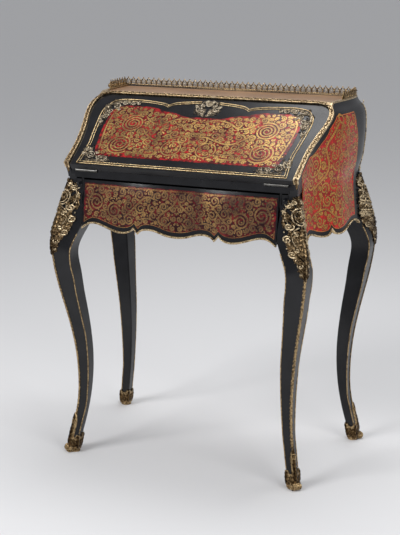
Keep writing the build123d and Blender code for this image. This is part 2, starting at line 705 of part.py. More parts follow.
def bed_screws():
    return together([
        Pos(x, HINGE_Y + d, BED_TOP - SCREW_LENGTH / 2) * Cylinder(SCREW_R, SCREW_LENGTH)
        for x, d in hinge_screw_places()
    ])


def fall_screws():
    return together([
        FALL_PLANE * Pos(x, d, SCREW_LENGTH / 2) * Cylinder(SCREW_R, SCREW_LENGTH)
        for x, d in hinge_screw_places()
    ])


KNUCKLE = HINGE_LENGTH / 3
KNUCKLE_GAP = 0.2


def knuckle(x, length):
    tube = Rot(0, 90, 0) * Cylinder(HINGE_R, length)
    return Pos(x, 0, 0) * (tube - Rot(0, 90, 0) * Cylinder(HINGE_PIN_R + HINGE_FIT, length + 2))


def knuckle_room(x, length):
    return Pos(x, 0, 0) * Rot(0, 90, 0) * Cylinder(HINGE_R + FIT, length)


def hinge_leaf_bed(x):
    """Leaf let into the bed, with the two outer knuckles. Hinge line at the origin."""
    leaf = slab(x - HINGE_LENGTH / 2, x + HINGE_LENGTH / 2, 0, LEAF_WIDTH, -LEAF_THICK, 0)
    leaf -= knuckle_room(x, KNUCKLE)
    leaf -= Pos(x, 0, 0) * Rot(0, 90, 0) * Cylinder(HINGE_PIN_R + HINGE_FIT, HINGE_LENGTH + 2)
    for side in (-1, 1):
        leaf += knuckle(x + side * KNUCKLE, KNUCKLE - KNUCKLE_GAP)
    return leaf


def hinge_leaf_fall(x):
    """Leaf let into the inner face of the fall, with the middle knuckle."""
    leaf = slab(x - HINGE_LENGTH / 2, x + HINGE_LENGTH / 2, 0, LEAF_WIDTH, 0, LEAF_THICK)
    for side in (-1, 1):
        leaf -= knuckle_room(x + side * KNUCKLE, KNUCKLE + 2 * KNUCKLE_GAP)
    leaf -= Pos(x, 0, 0) * Rot(0, 90, 0) * Cylinder(HINGE_PIN_R + HINGE_FIT, HINGE_LENGTH + 2)
    return leaf + knuckle(x, KNUCKLE - KNUCKLE_GAP)


def hinges_bed():
    place = Pos(0, HINGE_Y, BED_TOP)
    return together([place * hinge_leaf_bed(x) for x in (-HINGE_X, HINGE_X)]) - bed_screws()


def hinges_fall():
    return together([FALL_PLANE * hinge_leaf_fall(x) for x in (-HINGE_X, HINGE_X)]) - fall_screws()


def hinge_pins():
    return together([
        Pos(x, HINGE_Y, BED_TOP) * Rot(0, 90, 0) * Cylinder(HINGE_PIN_R, HINGE_LENGTH)
        for x in (-HINGE_X, HINGE_X)
    ])


# ---------------------------------------------------------------- frieze drawer
DRAWER_HALF = POST_X - 12       # outer faces of the drawer's sides
DRAWER_TOP = BED_TOP - max(BED_THICK, FALL_THICK) - DRAWER_GAP
DRAWER_LOW = APRON_Z + 8        # underside of the drawer's box
DRAWER_BACK_Y = BACK_INNER_Y - DRAWER_BACK_GAP
BOX_TOP = DRAWER_TOP - 8
# Drop below the writing bed, how far the frieze stands forward at its ends, and how much its lobes add.
FRIEZE_SWELL = [(19, 0, 2), (50, 4, 9), (84, 9, 10), (112, 14, 6), (150, 20, 3)]
# Share of the half width, and share of the lobe's swell: two lobes either side of a hollow middle.
FRIEZE_PLAN = [
    (-1, 0), (-0.75, 0.5), (-0.5, 1), (-0.25, 0.8), (0, 0.45), (0.25, 0.8), (0.5, 1), (0.75, 0.5), (1, 0),
]


def frieze_section(share, lobe, proud):
    x = share * (POST_X + 4)
    face = [
        (x, FRIEZE_Y - ends - lobe * swell - proud, BED_TOP - drop) for drop, ends, swell in FRIEZE_SWELL
    ]
    top = (x, FRIEZE_Y + DRAWER_FRONT, face[0][2])
    low = (x, FRIEZE_Y + DRAWER_FRONT, face[-1][2])
    return Face(Wire([Spline(*face), Line(face[-1], low), Line(low, top), Line(top, face[0])]))


def frieze_body(proud=0):
    """Bombe and serpentine block that the drawer front is cut from."""
    return loft([frieze_section(share, lobe, proud) for share, lobe in FRIEZE_PLAN])


def frieze_outline(drop):
    """Front view of the drawer front, its scalloped lower edge lowered by drop."""
    half = POST_X - SLIDE_FIT
    step_low = (half * 0.395, APRON_Z - 12 - drop)
    step_high = (half * 0.44, APRON_Z + 1 - drop)
    middle = (0, APRON_Z - 13 - drop)
    end = (half, APRON_Z - 11 - drop)
    right = [
        Spline(middle, (half * 0.27, APRON_Z - drop), step_low, tangents=[(1, 0), (0.6, -1)]),
        Line(step_low, step_high),
        Spline(step_high, (half * 0.58, APRON_Z - 13 - drop), (half * 0.85, APRON_Z + 4 - drop), end,
               tangents=[(0.6, -1), (1, -0.9)]),
        Line(end, (half, DRAWER_TOP)),
        Line((half, DRAWER_TOP), (0, DRAWER_TOP)),
    ]
    return make_face(right + [mirror(edge, about=Plane.YZ) for edge in right])


def frieze_prism(drop):
    return extrude(Plane.XZ * frieze_outline(drop), amount=2 * FOOT_Y)


def drawer_front():
    return frieze_body() & frieze_prism(0)


def drawer_bead():
    """Gilt bead under the scalloped edge of the drawer front."""
    band = frieze_prism(BEAD) - frieze_prism(SEAT)
    depth = slab(-CASE_REACH, CASE_REACH, -2 * FOOT_Y, FRIEZE_Y + DRAWER_FRONT - 12, KNEE_Z, APRON_Z + 12)
    return (frieze_body(2.5) & band & depth) - Pos(0, 6, 0) * frieze_body()


def drawer_side():
    front = FRIEZE_Y + DRAWER_FRONT
    board = slab(DRAWER_HALF - DRAWER_SIDE, DRAWER_HALF, front, DRAWER_BACK_Y, DRAWER_LOW, BOX_TOP)
    groove = slab(DRAWER_HALF - DRAWER_SIDE - 1, DRAWER_HALF - DRAWER_SIDE + 4, front - 1, DRAWER_BACK_Y + 1,
                  DRAWER_LOW + 5, DRAWER_LOW + 5 + DRAWER_BOTTOM)
    return board - groove


def drawer_back():
    return slab(-DRAWER_HALF + DRAWER_SIDE, DRAWER_HALF - DRAWER_SIDE, DRAWER_BACK_Y - DRAWER_SIDE,
                DRAWER_BACK_Y, DRAWER_LOW + 5 + DRAWER_BOTTOM, BOX_TOP)


def drawer_bottom():
    half = DRAWER_HALF - DRAWER_SIDE + 4
    return slab(-half, half, FRIEZE_Y + DRAWER_FRONT, DRAWER_BACK_Y, DRAWER_LOW + 5,
                DRAWER_LOW + 5 + DRAWER_BOTTOM)


# ---------------------------------------------------------------- lopers
def loper():
    front = FRIEZE_Y - 0.5
    bar = slab(LOPER_X - LOPER_WIDTH / 2, LOPER_X + LOPER_WIDTH / 2, front, BACK_INNER_Y - LOPER_BACK_GAP,
               LOPER_TOP - LOPER_HEIGHT, LOPER_TOP)
    return bar


def loper_knob():
    stem = rod((LOPER_X, FRIEZE_Y - 0.5, LOPER_TOP - LOPER_HEIGHT / 2),
               (LOPER_X, FRIEZE_Y - 6, LOPER_TOP - LOPER_HEIGHT / 2), 2)
    ball = Pos(LOPER_X, FRIEZE_Y - 8, LOPER_TOP - LOPER_HEIGHT / 2) * Sphere(4)
    return stem + ball


# ---------------------------------------------------------------- fitted interior
NEST_BACK = BACK_INNER_Y - FIT
NEST_BAYS = 3
NEST_LOW = BED_TOP + NEST_BOARD
SHELF_Z = NEST_LOW + NEST_DRAWER_HEIGHT + 1
BAY = (2 * NEST_HALF - NEST_BOARD * (NEST_BAYS + 1)) / NEST_BAYS
NEST_BACK_THICK = 4


def nest_case():
    """Outer box of the fitted interior, with its shelf."""
    top = BED_TOP + NEST_HEIGHT
    box = slab(-NEST_HALF, NEST_HALF, NEST_FRONT, NEST_BACK, BED_TOP, top)
    box -= slab(-NEST_HALF + NEST_BOARD, NEST_HALF - NEST_BOARD, NEST_FRONT - 1,
                NEST_BACK - NEST_BACK_THICK, NEST_LOW, top - NEST_BOARD)
    box += slab(-NEST_HALF + NEST_BOARD, NEST_HALF - NEST_BOARD, NEST_FRONT, NEST_BACK - NEST_BACK_THICK,
                SHELF_Z, SHELF_Z + NEST_BOARD)
    return box


def nest_dividers():
    """Upright partitions: two between the small drawers, and three between the pigeonholes."""
    low = [
        slab(x - NEST_BOARD / 2, x + NEST_BOARD / 2, NEST_FRONT, NEST_BACK - NEST_BACK_THICK, NEST_LOW, SHELF_Z)
        for x in (-(BAY + NEST_BOARD) / 2, (BAY + NEST_BOARD) / 2)
    ]
    span = 2 * (NEST_HALF - NEST_BOARD)
    high = [
        slab(x - 2, x + 2, NEST_FRONT + 4, NEST_BACK - NEST_BACK_THICK, SHELF_Z + NEST_BOARD,
             BED_TOP + NEST_HEIGHT - NEST_BOARD)
        for x in (-span / 4, 0, span / 4)
    ]
    return together(low + high)


def bay_middle(i):
    return (i - 1) * (BAY + NEST_BOARD)


def nest_drawer(i):
    """Small drawer: an open tray with a thicker front."""
    x = bay_middle(i)
    half = BAY / 2 - 0.6
    low = NEST_LOW + 0.4
    high = SHELF_Z - 0.8
    back = NEST_BACK - NEST_BACK_THICK - 4
    tray = slab(x - half, x + half, NEST_FRONT, back, low, high)
    tray -= slab(x - half + 5, x + half - 5, NEST_FRONT + 9, back - 5, low + 4, high + 1)
    return tray


def nest_knob(i):
    x = bay_middle(i)
    z = (NEST_LOW + SHELF_Z) / 2
    stem = rod((x, NEST_FRONT, z), (x, NEST_FRONT - 5, z), 2)
    return stem + Pos(x, NEST_FRONT - 8, z) * Sphere(4.5)


# ---------------------------------------------------------------- gallery
GALLERY_INSET = 4
GALLERY_Z = CASE_TOP + TRIM


def top_edge_x(y):
    return side_x_at(y, CASE_TOP)


def fret_cutters(length):
    """Lens-shaped piercings and the notches between the finials, along X from the middle."""
    count = int(length / GALLERY_PITCH)
    shapes = []
    for i in range(count):
        x = (i - (count - 1) / 2) * GALLERY_PITCH
        lens = Pos(x, GALLERY_HEIGHT * 0.42) * RegularPolygon(GALLERY_PITCH * 0.33, 6)
        notch = Pos(x + GALLERY_PITCH / 2, GALLERY_HEIGHT) * RegularPolygon(GALLERY_PITCH * 0.36, 6)
        small = Pos(x + GALLERY_PITCH / 2, GALLERY_HEIGHT * 0.24) * RegularPolygon(GALLERY_PITCH * 0.13, 4)
        shapes += [lens, notch, small]
    return shapes


def gallery_back():
    half = top_edge_x(BACK_Y) - 1
    sheet = Rectangle(2 * half, GALLERY_HEIGHT, align=(Align.CENTER, Align.MIN))
    fret = Plane.XZ * (sheet - fret_cutters(2 * half))
    y = BACK_Y - GALLERY_INSET
    foot = half - TRIM_WIDTH - 5
    base = slab(-foot, foot, y - 4, y + 1, GALLERY_Z - TRIM, GALLERY_Z + 2)
    return Pos(0, y, GALLERY_Z) * extrude(fret, amount=GALLERY_THICK) + base


def gallery_side():
    """Side of the gallery: a fret that follows the curve of the side, on a flat base rail."""
    length = BACK_Y - GALLERY_INSET - GALLERY_THICK - FIT - GALLERY_FRONT_Y
    middle = GALLERY_FRONT_Y + length / 2
    sheet = Rectangle(length, GALLERY_HEIGHT, align=(Align.CENTER, Align.MIN))
    fret = extrude(Plane.YZ * (sheet - fret_cutters(length)), amount=CASE_REACH)
    wall = case_top_band(2.5, 2.5 + GALLERY_THICK, GALLERY_Z, GALLERY_HEIGHT)
    base = case_top_band(1, 6.5, GALLERY_Z, 2)
    keep = slab(0, CASE_REACH, GALLERY_FRONT_Y, GALLERY_FRONT_Y + length, 0, 2 * CASE_TOP)
    return (wall & Pos(0, middle, GALLERY_Z) * fret & keep) + (base & keep)


def case_top_band(outset, inset, z, height):
    """Upright band that follows the top edge of a side, between two distances in from its outer face."""
    outer = [(top_edge_x(y) - outset, y, z) for y in case_stations()]
    inner = [(top_edge_x(y) - inset, y, z) for y in case_stations()]
    plan = Face(Wire([
        Spline(*outer), Line(outer[-1], inner[-1]), Spline(*reversed(inner)), Line(inner[0], outer[0]),
    ]))
    return extrude(plan, amount=height, dir=(0, 0, 1))


# ---------------------------------------------------------------- all pieces
def both_sides(name, shape):
    return {f"{name}_right": shape, f"{name}_left": mirrored(shape)}


def build_parts():
    parts = {}
    parts.update(both_sides("side_panel", side_panel()))
    parts.update(both_sides("slant_moulding", slant_moulding()))
    bead = side_apron_bead()
    parts["side_apron_beads"] = together([bead, mirrored(bead)])
    parts.update(both_sides("front_leg", front_leg()))
    parts.update(both_sides("rear_leg", to_rear(LEG)))
    mount = corner_mount()
    parts.update(both_sides("front_knee_mount", mount))
    parts.update(both_sides("rear_knee_mount", to_rear(mount)))
    strip = leg_strips()
    parts["leg_ridge_strips"] = together([
        strip, mirrored(strip), to_rear(strip), mirrored(to_rear(strip)),
    ])
    foot = shoe()
    parts.update(both_sides("front_shoe", foot))
    parts.update(both_sides("rear_shoe", to_rear(foot)))
    parts["writing_bed"] = writing_bed()
    parts["top_board"] = top_board()
    parts["top_rail"] = top_rail()
    parts["top_moulding"] = top_moulding()
    parts["back_panel"] = back_panel()
    runner = drawer_runner()
    parts["drawer_runners"] = together([runner, mirrored(runner)])
    guide = loper_guide()
    parts["loper_guides"] = together([guide, mirrored(guide)])
    parts["gallery_back"] = gallery_back()
    parts.update(both_sides("gallery_side", gallery_side()))
    parts["fall_panel"] = fall_panel()
    parts["fall_leather"] = fall_leather()
    parts["fall_fillet"] = fall_fillet()
    parts["fall_corner_mounts"] = fall_corner_mounts()
    parts["fall_escutcheon"] = fall_escutcheon()
    parts["fall_lock"] = fall_lock()
    parts["fall_bolt"] = fall_bolt()
    parts["hinges_bed"] = hinges_bed()
    parts["hinges_fall"] = hinges_fall()
    parts["hinge_pins"] = hinge_pins()
    parts["hinge_screws_bed"] = bed_screws()
    parts["hinge_screws_fall"] = fall_screws()
    parts["drawer_front"] = drawer_front()
    parts["drawer_bead"] = drawer_bead()
    side = drawer_side()
    parts["drawer_sides"] = together([side, mirrored(side)])
    parts["drawer_back"] = drawer_back()
    parts["drawer_bottom"] = drawer_bottom()
    parts.update(both_sides("loper", loper()))
    parts.update(both_sides("loper_knob", loper_knob()))
    parts["nest_case"] = nest_case()
    parts["nest_dividers"] = nest_dividers()
    for i, place in enumerate(("left", "middle", "right")):
        parts[f"nest_drawer_{place}"] = nest_drawer(i)
        parts[f"nest_knob_{place}"] = nest_knob(i)
    return parts


os.makedirs("parts", exist_ok=True)
for node, shape in build_parts().items():
    export_step(shape, f"parts/{node}.step")
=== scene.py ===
import json
import random
from math import atan2, ceil, cos, pi, radians, sin, tau

import bpy
import numpy as np
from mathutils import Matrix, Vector
from mathutils.bvhtree import BVHTree


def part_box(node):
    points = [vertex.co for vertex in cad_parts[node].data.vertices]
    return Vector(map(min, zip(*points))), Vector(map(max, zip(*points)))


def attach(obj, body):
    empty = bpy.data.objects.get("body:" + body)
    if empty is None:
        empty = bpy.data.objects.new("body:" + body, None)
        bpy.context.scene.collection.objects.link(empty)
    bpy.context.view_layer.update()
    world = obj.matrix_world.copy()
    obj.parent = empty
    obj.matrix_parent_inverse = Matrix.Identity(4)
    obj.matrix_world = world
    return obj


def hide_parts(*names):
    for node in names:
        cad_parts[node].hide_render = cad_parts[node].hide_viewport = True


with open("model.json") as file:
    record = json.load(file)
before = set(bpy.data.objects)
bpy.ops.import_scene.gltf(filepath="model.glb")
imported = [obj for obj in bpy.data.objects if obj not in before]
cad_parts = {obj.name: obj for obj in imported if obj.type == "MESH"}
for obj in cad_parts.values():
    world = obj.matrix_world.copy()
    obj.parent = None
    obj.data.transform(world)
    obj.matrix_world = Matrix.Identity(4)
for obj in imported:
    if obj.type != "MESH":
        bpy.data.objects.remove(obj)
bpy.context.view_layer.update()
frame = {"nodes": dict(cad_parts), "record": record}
nodes = frame["nodes"]

# ---- sizes, in metres
BED_TOP = 0.742
HINGE_Y = -0.187
SLOPE = radians(34.6)
FALL_THICK = 0.018
FALL_LENGTH = 0.262
FALL_HALF = 0.2781
CASE_TOP = 0.91
FOOT = Vector((0.301, -0.185, 0.0))
REAR_SPLAY = 0.037
POST_Y = 0.15          # inner faces of the corner posts
GROUND = 0.00025        # shell ground above the wood
METAL = 0.0004         # brass above the wood
OUTLINE_LIFT = METAL - 0.00007
GRAVED_LIFT = METAL + 0.00006
PEARL_PITCH = 0.0042
OUTWARD = Vector((1, -1, 0)).normalized()     # the right front leg is set at 45 degrees
SIDEWAYS = Vector((1, 1, 0)).normalized()
UP = Vector((0, 0, 1))
HALVES = (1, -1)


# ---- materials
def shader_of(mat):
    return mat.node_tree.nodes["Principled BSDF"]


def set_inputs(node, values):
    for name, value in values.items():
        node.inputs[name].default_value = value


def new_node(owner, kind, **values):
    """Shader node in a material or in the world."""
    node = owner.node_tree.nodes.new("ShaderNode" + kind)
    set_inputs(node, values)
    return node


def feed(mat, socket, value):
    mat.node_tree.links.new(value, shader_of(mat).inputs[socket])


def material(name, color, roughness, metallic=0.0, coat=0.0, coat_roughness=0.1, specular=0.5):
    mat = bpy.data.materials.new(name)
    mat.use_nodes = True
    set_inputs(shader_of(mat), {
        "Base Color": (*color, 1), "Roughness": roughness, "Metallic": metallic, "Coat Weight": coat,
        "Coat Roughness": coat_roughness, "Specular IOR Level": specular,
    })
    return mat


def noise(mat, scale, detail=3.0, stretch=(1, 1, 1), distortion=0.0):
    """A noise value in object space; stretch squeezes it along an axis."""
    link = mat.node_tree.links.new
    mapping = new_node(mat, "Mapping", Scale=stretch)
    texture = new_node(mat, "TexNoise", Scale=scale, Detail=detail, Distortion=distortion)
    link(new_node(mat, "TexCoord").outputs["Object"], mapping.inputs["Vector"])
    link(mapping.outputs["Vector"], texture.inputs["Vector"])
    return texture.outputs["Fac"]


def ramp(mat, value, stops):
    node = new_node(mat, "ValToRGB")
    elements = node.color_ramp.elements
    while len(elements) < len(stops):
        elements.new(0.5)
    for element, (place, color) in zip(elements, stops):
        element.position = place
        element.color = (*color, 1)
    mat.node_tree.links.new(value, node.inputs["Fac"])
    return node.outputs["Color"]


def darkened(mat, factor, color, shade):
    """The colour multiplied by the shade, by a share of factor."""
    node = new_node(mat, "Mix", Factor=factor)
    node.data_type = "RGBA"
    node.blend_type = "MULTIPLY"
    colors = [s for s in node.inputs if s.type == "RGBA"]
    for socket, value in zip(colors, (color, shade)):
        mat.node_tree.links.new(value, socket)
    return [s for s in node.outputs if s.type == "RGBA"][0]


def bump(mat, value, distance, strength):
    node = new_node(mat, "Bump", Distance=distance, Strength=strength)
    mat.node_tree.links.new(value, node.inputs["Height"])
    feed(mat, "Normal", node.outputs["Normal"])


def vary_roughness(mat, value, low, high):
    feed(mat, "Roughness", ramp(mat, value, [(0.3, (low,) * 3), (0.7, (high,) * 3)]))


def ebony():
    mat = material("ebonised_lacquer", (0.005, 0.005, 0.006), 0.2, specular=0.36)
    feed(mat, "Base Color", ramp(mat, noise(mat, 26, 5), [(0.35, (0.003, 0.003, 0.004)),
                                                          (0.75, (0.009, 0.009, 0.011))]))
    vary_roughness(mat, noise(mat, 9, 4), 0.16, 0.28)
    bump(mat, noise(mat, 60, 3), 0.0002, 0.35)
    return mat


def tortoiseshell(name, deep, bright, dark):
    """Red shell ground: bright red clouded with brown-black."""
    mat = material(name, bright, 0.3, coat=0.15, coat_roughness=0.12, specular=0.3)
    cloud = noise(mat, 38, 4, distortion=0.6)
    spots = noise(mat, 95, 3, distortion=0.8)
    red = ramp(mat, cloud, [(0.3, deep), (0.62, bright)])
    shade = ramp(mat, spots, [(0.44, dark), (0.6, (1, 1, 1))])
    feed(mat, "Base Color", darkened(mat, 0.85, red, shade))
    vary_roughness(mat, cloud, 0.2, 0.34)
    return mat


def inlay_brass(name, pale, dull):
    """Flat brass marquetry with fine engraving."""
    mat = material(name, pale, 0.34, metallic=0.75, coat=0.4, coat_roughness=0.15)
    age = noise(mat, 22, 4)
    tone = ramp(mat, age, [(0.32, dull), (0.62, pale)])
    lines = ramp(mat, noise(mat, 520, 2, distortion=1.5), [(0.42, (0.1, 0.05, 0.03)), (0.52, (1, 1, 1))])
    feed(mat, "Base Color", darkened(mat, 0.8, tone, lines))
    vary_roughness(mat, age, 0.26, 0.42)
    return mat


def gilt_bronze(name, dark, middle, light, pitted):
    """Cast bronze: brown in its hollows and bright on its edges, set by pointiness: patina and wear, with
    painted shade in the hollows and a painted highlight on the edges.
    """
    mat = material(name, middle, 0.32, metallic=1.0)
    pointiness = new_node(mat, "NewGeometry").outputs["Pointiness"]
    # Pointiness paints shade into the hollows and a highlight onto the edges, over the real patina and wear.
    patina_shade_and_highlight = ramp(mat, pointiness, [(0.43, dark), (0.49, middle), (0.55, light)])
    patina = ramp(mat, noise(mat, 260, 5), [(0.36, (pitted, pitted * 0.8, pitted * 0.65)), (0.58, (1, 1, 1))])
    feed(mat, "Base Color", darkened(mat, 1.0, patina_shade_and_highlight, patina))
    vary_roughness(mat, noise(mat, 210, 3), 0.22, 0.46)
    bump(mat, noise(mat, 900, 3), 0.00025, 0.5)
    return mat


def brass(name, dark, light):
    mat = material(name, light, 0.28, metallic=1.0)
    feed(mat, "Base Color", ramp(mat, noise(mat, 90, 4), [(0.3, dark), (0.7, light)]))
    vary_roughness(mat, noise(mat, 160, 3), 0.24, 0.42)
    return mat


def wood(name, dark, light, stretch, coat):
    mat = material(name, light, 0.4, coat=coat, coat_roughness=0.2)
    grain = noise(mat, 30, 6, stretch, 1.2)
    pores = noise(mat, 160, 2, stretch)
    tone = ramp(mat, grain, [(0.3, dark), (0.65, light)])
    shade = ramp(mat, pores, [(0.35, (0.45, 0.4, 0.35)), (0.55, (1, 1, 1))])
    feed(mat, "Base Color", darkened(mat, 0.5, tone, shade))
    vary_roughness(mat, grain, 0.3, 0.5)
    bump(mat, pores, 0.0003, 0.4)
    return mat


def leather():
    mat = material("writing_leather", (0.16, 0.028, 0.018), 0.45, specular=0.2)
    cloud = noise(mat, 14, 5)
    feed(mat, "Base Color", ramp(mat, cloud, [(0.3, (0.1, 0.016, 0.012)), (0.7, (0.21, 0.04, 0.026))]))
    vary_roughness(mat, cloud, 0.38, 0.55)
    bump(mat, noise(mat, 1400, 2), 0.0002, 0.6)
    return mat


EBONY = ebony()
SHELL_FALL = tortoiseshell("shell_fall", (0.13, 0.004, 0.005), (0.46, 0.009, 0.008), (0.07, 0.05, 0.05))
SHELL_SIDE = tortoiseshell("shell_side", (0.36, 0.008, 0.004), (0.62, 0.02, 0.008), (0.45, 0.2, 0.12))
# The drawer's shell is darker than the fall's: partly its own tone, partly painted shade on the upright
# drawer front.
SHELL_DRAWER_SHADED = tortoiseshell("shell_drawer_painted_shade", (0.035, 0.003, 0.004), (0.19, 0.005, 0.008), (0.08, 0.05, 0.05))
INLAY = inlay_brass("inlay_brass", (0.95, 0.6, 0.17), (0.46, 0.24, 0.07))
INLAY_SIDE = inlay_brass("inlay_brass_side", (1.00, 0.52, 0.09), (0.8, 0.3, 0.05))
# The drawer's brass is duller and darker than the fall's: partly its own tone, partly painted shade on the
# upright drawer front.
INLAY_DRAWER_SHADED = inlay_brass("inlay_brass_drawer_painted_shade", (0.58, 0.33, 0.11), (0.22, 0.1, 0.04))
GRAVING = material("graved_line", (0.018, 0.01, 0.008), 0.45)
GILT = gilt_bronze("gilt_bronze", (0.04, 0.024, 0.012), (0.44, 0.3, 0.155), (0.8, 0.64, 0.41), 0.1)
GILT_DARK = gilt_bronze("dark_gilding", (0.022, 0.012, 0.006), (0.235, 0.148, 0.068), (0.56, 0.4, 0.21), 0.12)
GILT_LINE = gilt_bronze("gilt_line", (0.17, 0.105, 0.045), (0.52, 0.365, 0.175), (0.76, 0.59, 0.33), 0.55)
GILT_STRIP = gilt_bronze("gilt_strip", (0.07, 0.04, 0.02), (0.42, 0.29, 0.15), (0.8, 0.63, 0.39), 0.28)
GILT_WORN = gilt_bronze("worn_gilding", (0.04, 0.032, 0.024), (0.42, 0.345, 0.24), (0.64, 0.55, 0.41), 0.2)
BRASS = brass("plain_brass", (0.5, 0.35, 0.15), (0.8, 0.62, 0.32))
HINGE_BRASS = brass("tarnished_brass", (0.07, 0.068, 0.062), (0.18, 0.175, 0.165))
TOP_VENEER = wood("top_veneer", (0.17, 0.085, 0.042), (0.36, 0.21, 0.115), (0.35, 3, 1), 0.2)
INNER_WOOD = wood("inner_wood", (0.17, 0.085, 0.035), (0.38, 0.21, 0.1), (0.3, 2.5, 2.5), 0.2)
BACK_WOOD = wood("back_wood", (0.02, 0.014, 0.011), (0.05, 0.034, 0.025), (0.4, 3, 3), 0.0)
LEATHER = leather()

LOOKS = {
    "ebonised_wood": EBONY, "marquetry": EBONY, "gilt_bronze": GILT, "plain_brass": BRASS,
    "inner_wood": INNER_WOOD, "leather": LEATHER,
}
SLOT_OF = {s["node"]: s["material_slot"] for s in frame["record"]["subparts"]}
SPECIAL = {
    "back_panel": BACK_WOOD, "hinges_bed": HINGE_BRASS, "hinges_fall": HINGE_BRASS, "hinge_pins": HINGE_BRASS,
    "slant_moulding_right": GILT_STRIP, "slant_moulding_left": GILT_STRIP, "top_moulding": GILT_STRIP,
    "drawer_bead": GILT_LINE, "side_apron_beads": GILT_LINE,
}
for node_name, cad in nodes.items():
    look = GILT_DARK if "_shoe_" in node_name else SPECIAL.get(node_name, LOOKS[SLOT_OF[node_name]])
    cad.data.materials.clear()
    cad.data.materials.append(look)


# ---- meshes
class Shape:
    """Vertices and faces of one piece while it grows."""

    def __init__(self):
        self.points = []
        self.faces = []

    def add(self, points, faces):
        start = len(self.points)
        self.points += [Vector(p) for p in points]
        self.faces += [tuple(start + i for i in face) for face in faces]

    def moved(self, change, flip):
        """The shape with change done to every point; flip keeps the front of a mirrored face outside."""
        if change is None:
            return self
        other = Shape()
        other.points = [change(p) for p in self.points]
        other.faces = [tuple(reversed(f)) if flip else f for f in self.faces]
        return other


def new_mesh(name, corners, faces, look):
    mesh = bpy.data.meshes.new(name)
    mesh.from_pydata(corners, [], faces)
    mesh.materials.append(look)
    return mesh


def new_object(name, data):
    obj = bpy.data.objects.new(name, data)
    bpy.context.scene.collection.objects.link(obj)
    return obj


def piece(name, shape, look, body="carcass", replaces=None, smooth=True):
    mesh = new_mesh(name, shape.points, shape.faces, look)
    mesh.polygons.foreach_set("use_smooth", [smooth] * len(mesh.polygons))
    mesh.update()
    obj = new_object(name, mesh)
    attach(obj, body)
    if replaces:
        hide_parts(replaces)


def to_left(p):
    return Vector((-p.x, p.y, p.z))


def to_rear(p):
    return Vector((p.x + REAR_SPLAY, -p.y, p.z))


def to_rear_left(p):
    return to_left(to_rear(p))


# What Shape.moved does to the right piece, or to the right front one, for each place.
SIDES = {"right": (None, False), "left": (to_left, True)}
CORNERS = {"front_right": (None, False), "front_left": (to_left, True),
           "rear_right": (to_rear, True), "rear_left": (to_rear_left, False)}


def swell(t, power):
    """Nothing at both ends of 0..1 and one in the middle; a low power makes it blunter."""
    return max(0.0, sin(pi * t)) ** power


def curve(points, step=0.0012):
    """Catmull-Rom curve through 2-D or 3-D points, sampled about every step."""
    pts = [np.array(p, float) for p in points]
    pts = [2 * pts[0] - pts[1]] + pts + [2 * pts[-1] - pts[-2]]
    out = []
    for i in range(1, len(pts) - 2):
        a, b, c, d = pts[i - 1:i + 3]
        count = max(2, int(np.linalg.norm(c - b) / step))
        for k in range(count):
            t = k / count
            out.append(0.5 * (2 * b + (c - a) * t + (2 * a - 5 * b + 4 * c - d) * t * t
                              + (3 * b - a - 3 * c + d) * t ** 3))
    out.append(pts[-2])
    return out


def spread(low, high, count):
    """Even steps from low to high."""
    return [low + (high - low) * i / count for i in range(count + 1)]


def oval(x, y, wide, tall, count, end=tau):
    """Points round an oval, or round it to the angle end."""
    return [(x + wide * cos(end * k / count), y + tall * sin(end * k / count)) for k in range(count + 1)]


def turned(path, side):
    """A 2-D path, mirrored where side is -1."""
    return [(p[0] * side, p[1]) for p in path]


def laid(path, place, lift, side=1):
    """A 2-D path laid on a surface."""
    return [place(x, y, lift) for x, y in turned(path, side)]


def stations(path, first, pitch):
    """Neighbouring points of a path, about every pitch."""
    gone = 0.0
    next_at = first
    for a, b in zip(path, path[1:]):
        gone += float(np.linalg.norm(np.array(b) - np.array(a)))
        if gone >= next_at:
            next_at += pitch
            yield a, b


def grid(rows, columns):
    """Faces between rows of points."""
    return [(i * columns + j, i * columns + j + 1, (i + 1) * columns + j + 1, (i + 1) * columns + j)
            for i in range(rows - 1) for j in range(columns - 1)]


def ribbon(shape, path, widths, place, lift, crown=0.0):
    """Strip along a path on a surface. With a crown it rises to its middle, as a cast leaf does."""
    path = [np.array(p, float) for p in path]
    across = (-1, 1) if crown == 0 else (-1, -0.6, -0.12, 0, 0.12, 0.6, 1)
    rise = (0, 0) if crown == 0 else (0, 0.75, 1.0, 0.62, 1.0, 0.75, 0)
    points = []
    for i, p in enumerate(path):
        ahead = path[min(i + 1, len(path) - 1)]
        behind = path[max(i - 1, 0)]
        t = ahead - behind
        t = t / (np.linalg.norm(t) + 1e-12)
        n = np.array([-t[1], t[0]])
        w = widths[i]
        high = crown * min(1.0, w / max(max(widths), 1e-9) + 0.25)
        for side, share in zip(across, rise):
            q = p + n * w * side
            points.append(place(q[0], q[1], lift + high * share))
    shape.add(points, grid(len(path), len(across)))


def leaf(shape, path, width, place, lift, crown, lobes=4, blunt=0.55):
    """Acanthus leaf along a path: a crowned ribbon whose edge is lobed."""
    count = len(path)
    widths = []
    for i in range(count):
        t = i / (count - 1)
        body = swell(t ** blunt, 0.8)
        widths.append(width * (0.06 + body * (0.8 + 0.28 * cos(tau * lobes * t))))
    ribbon(shape, path, widths, place, lift, crown)


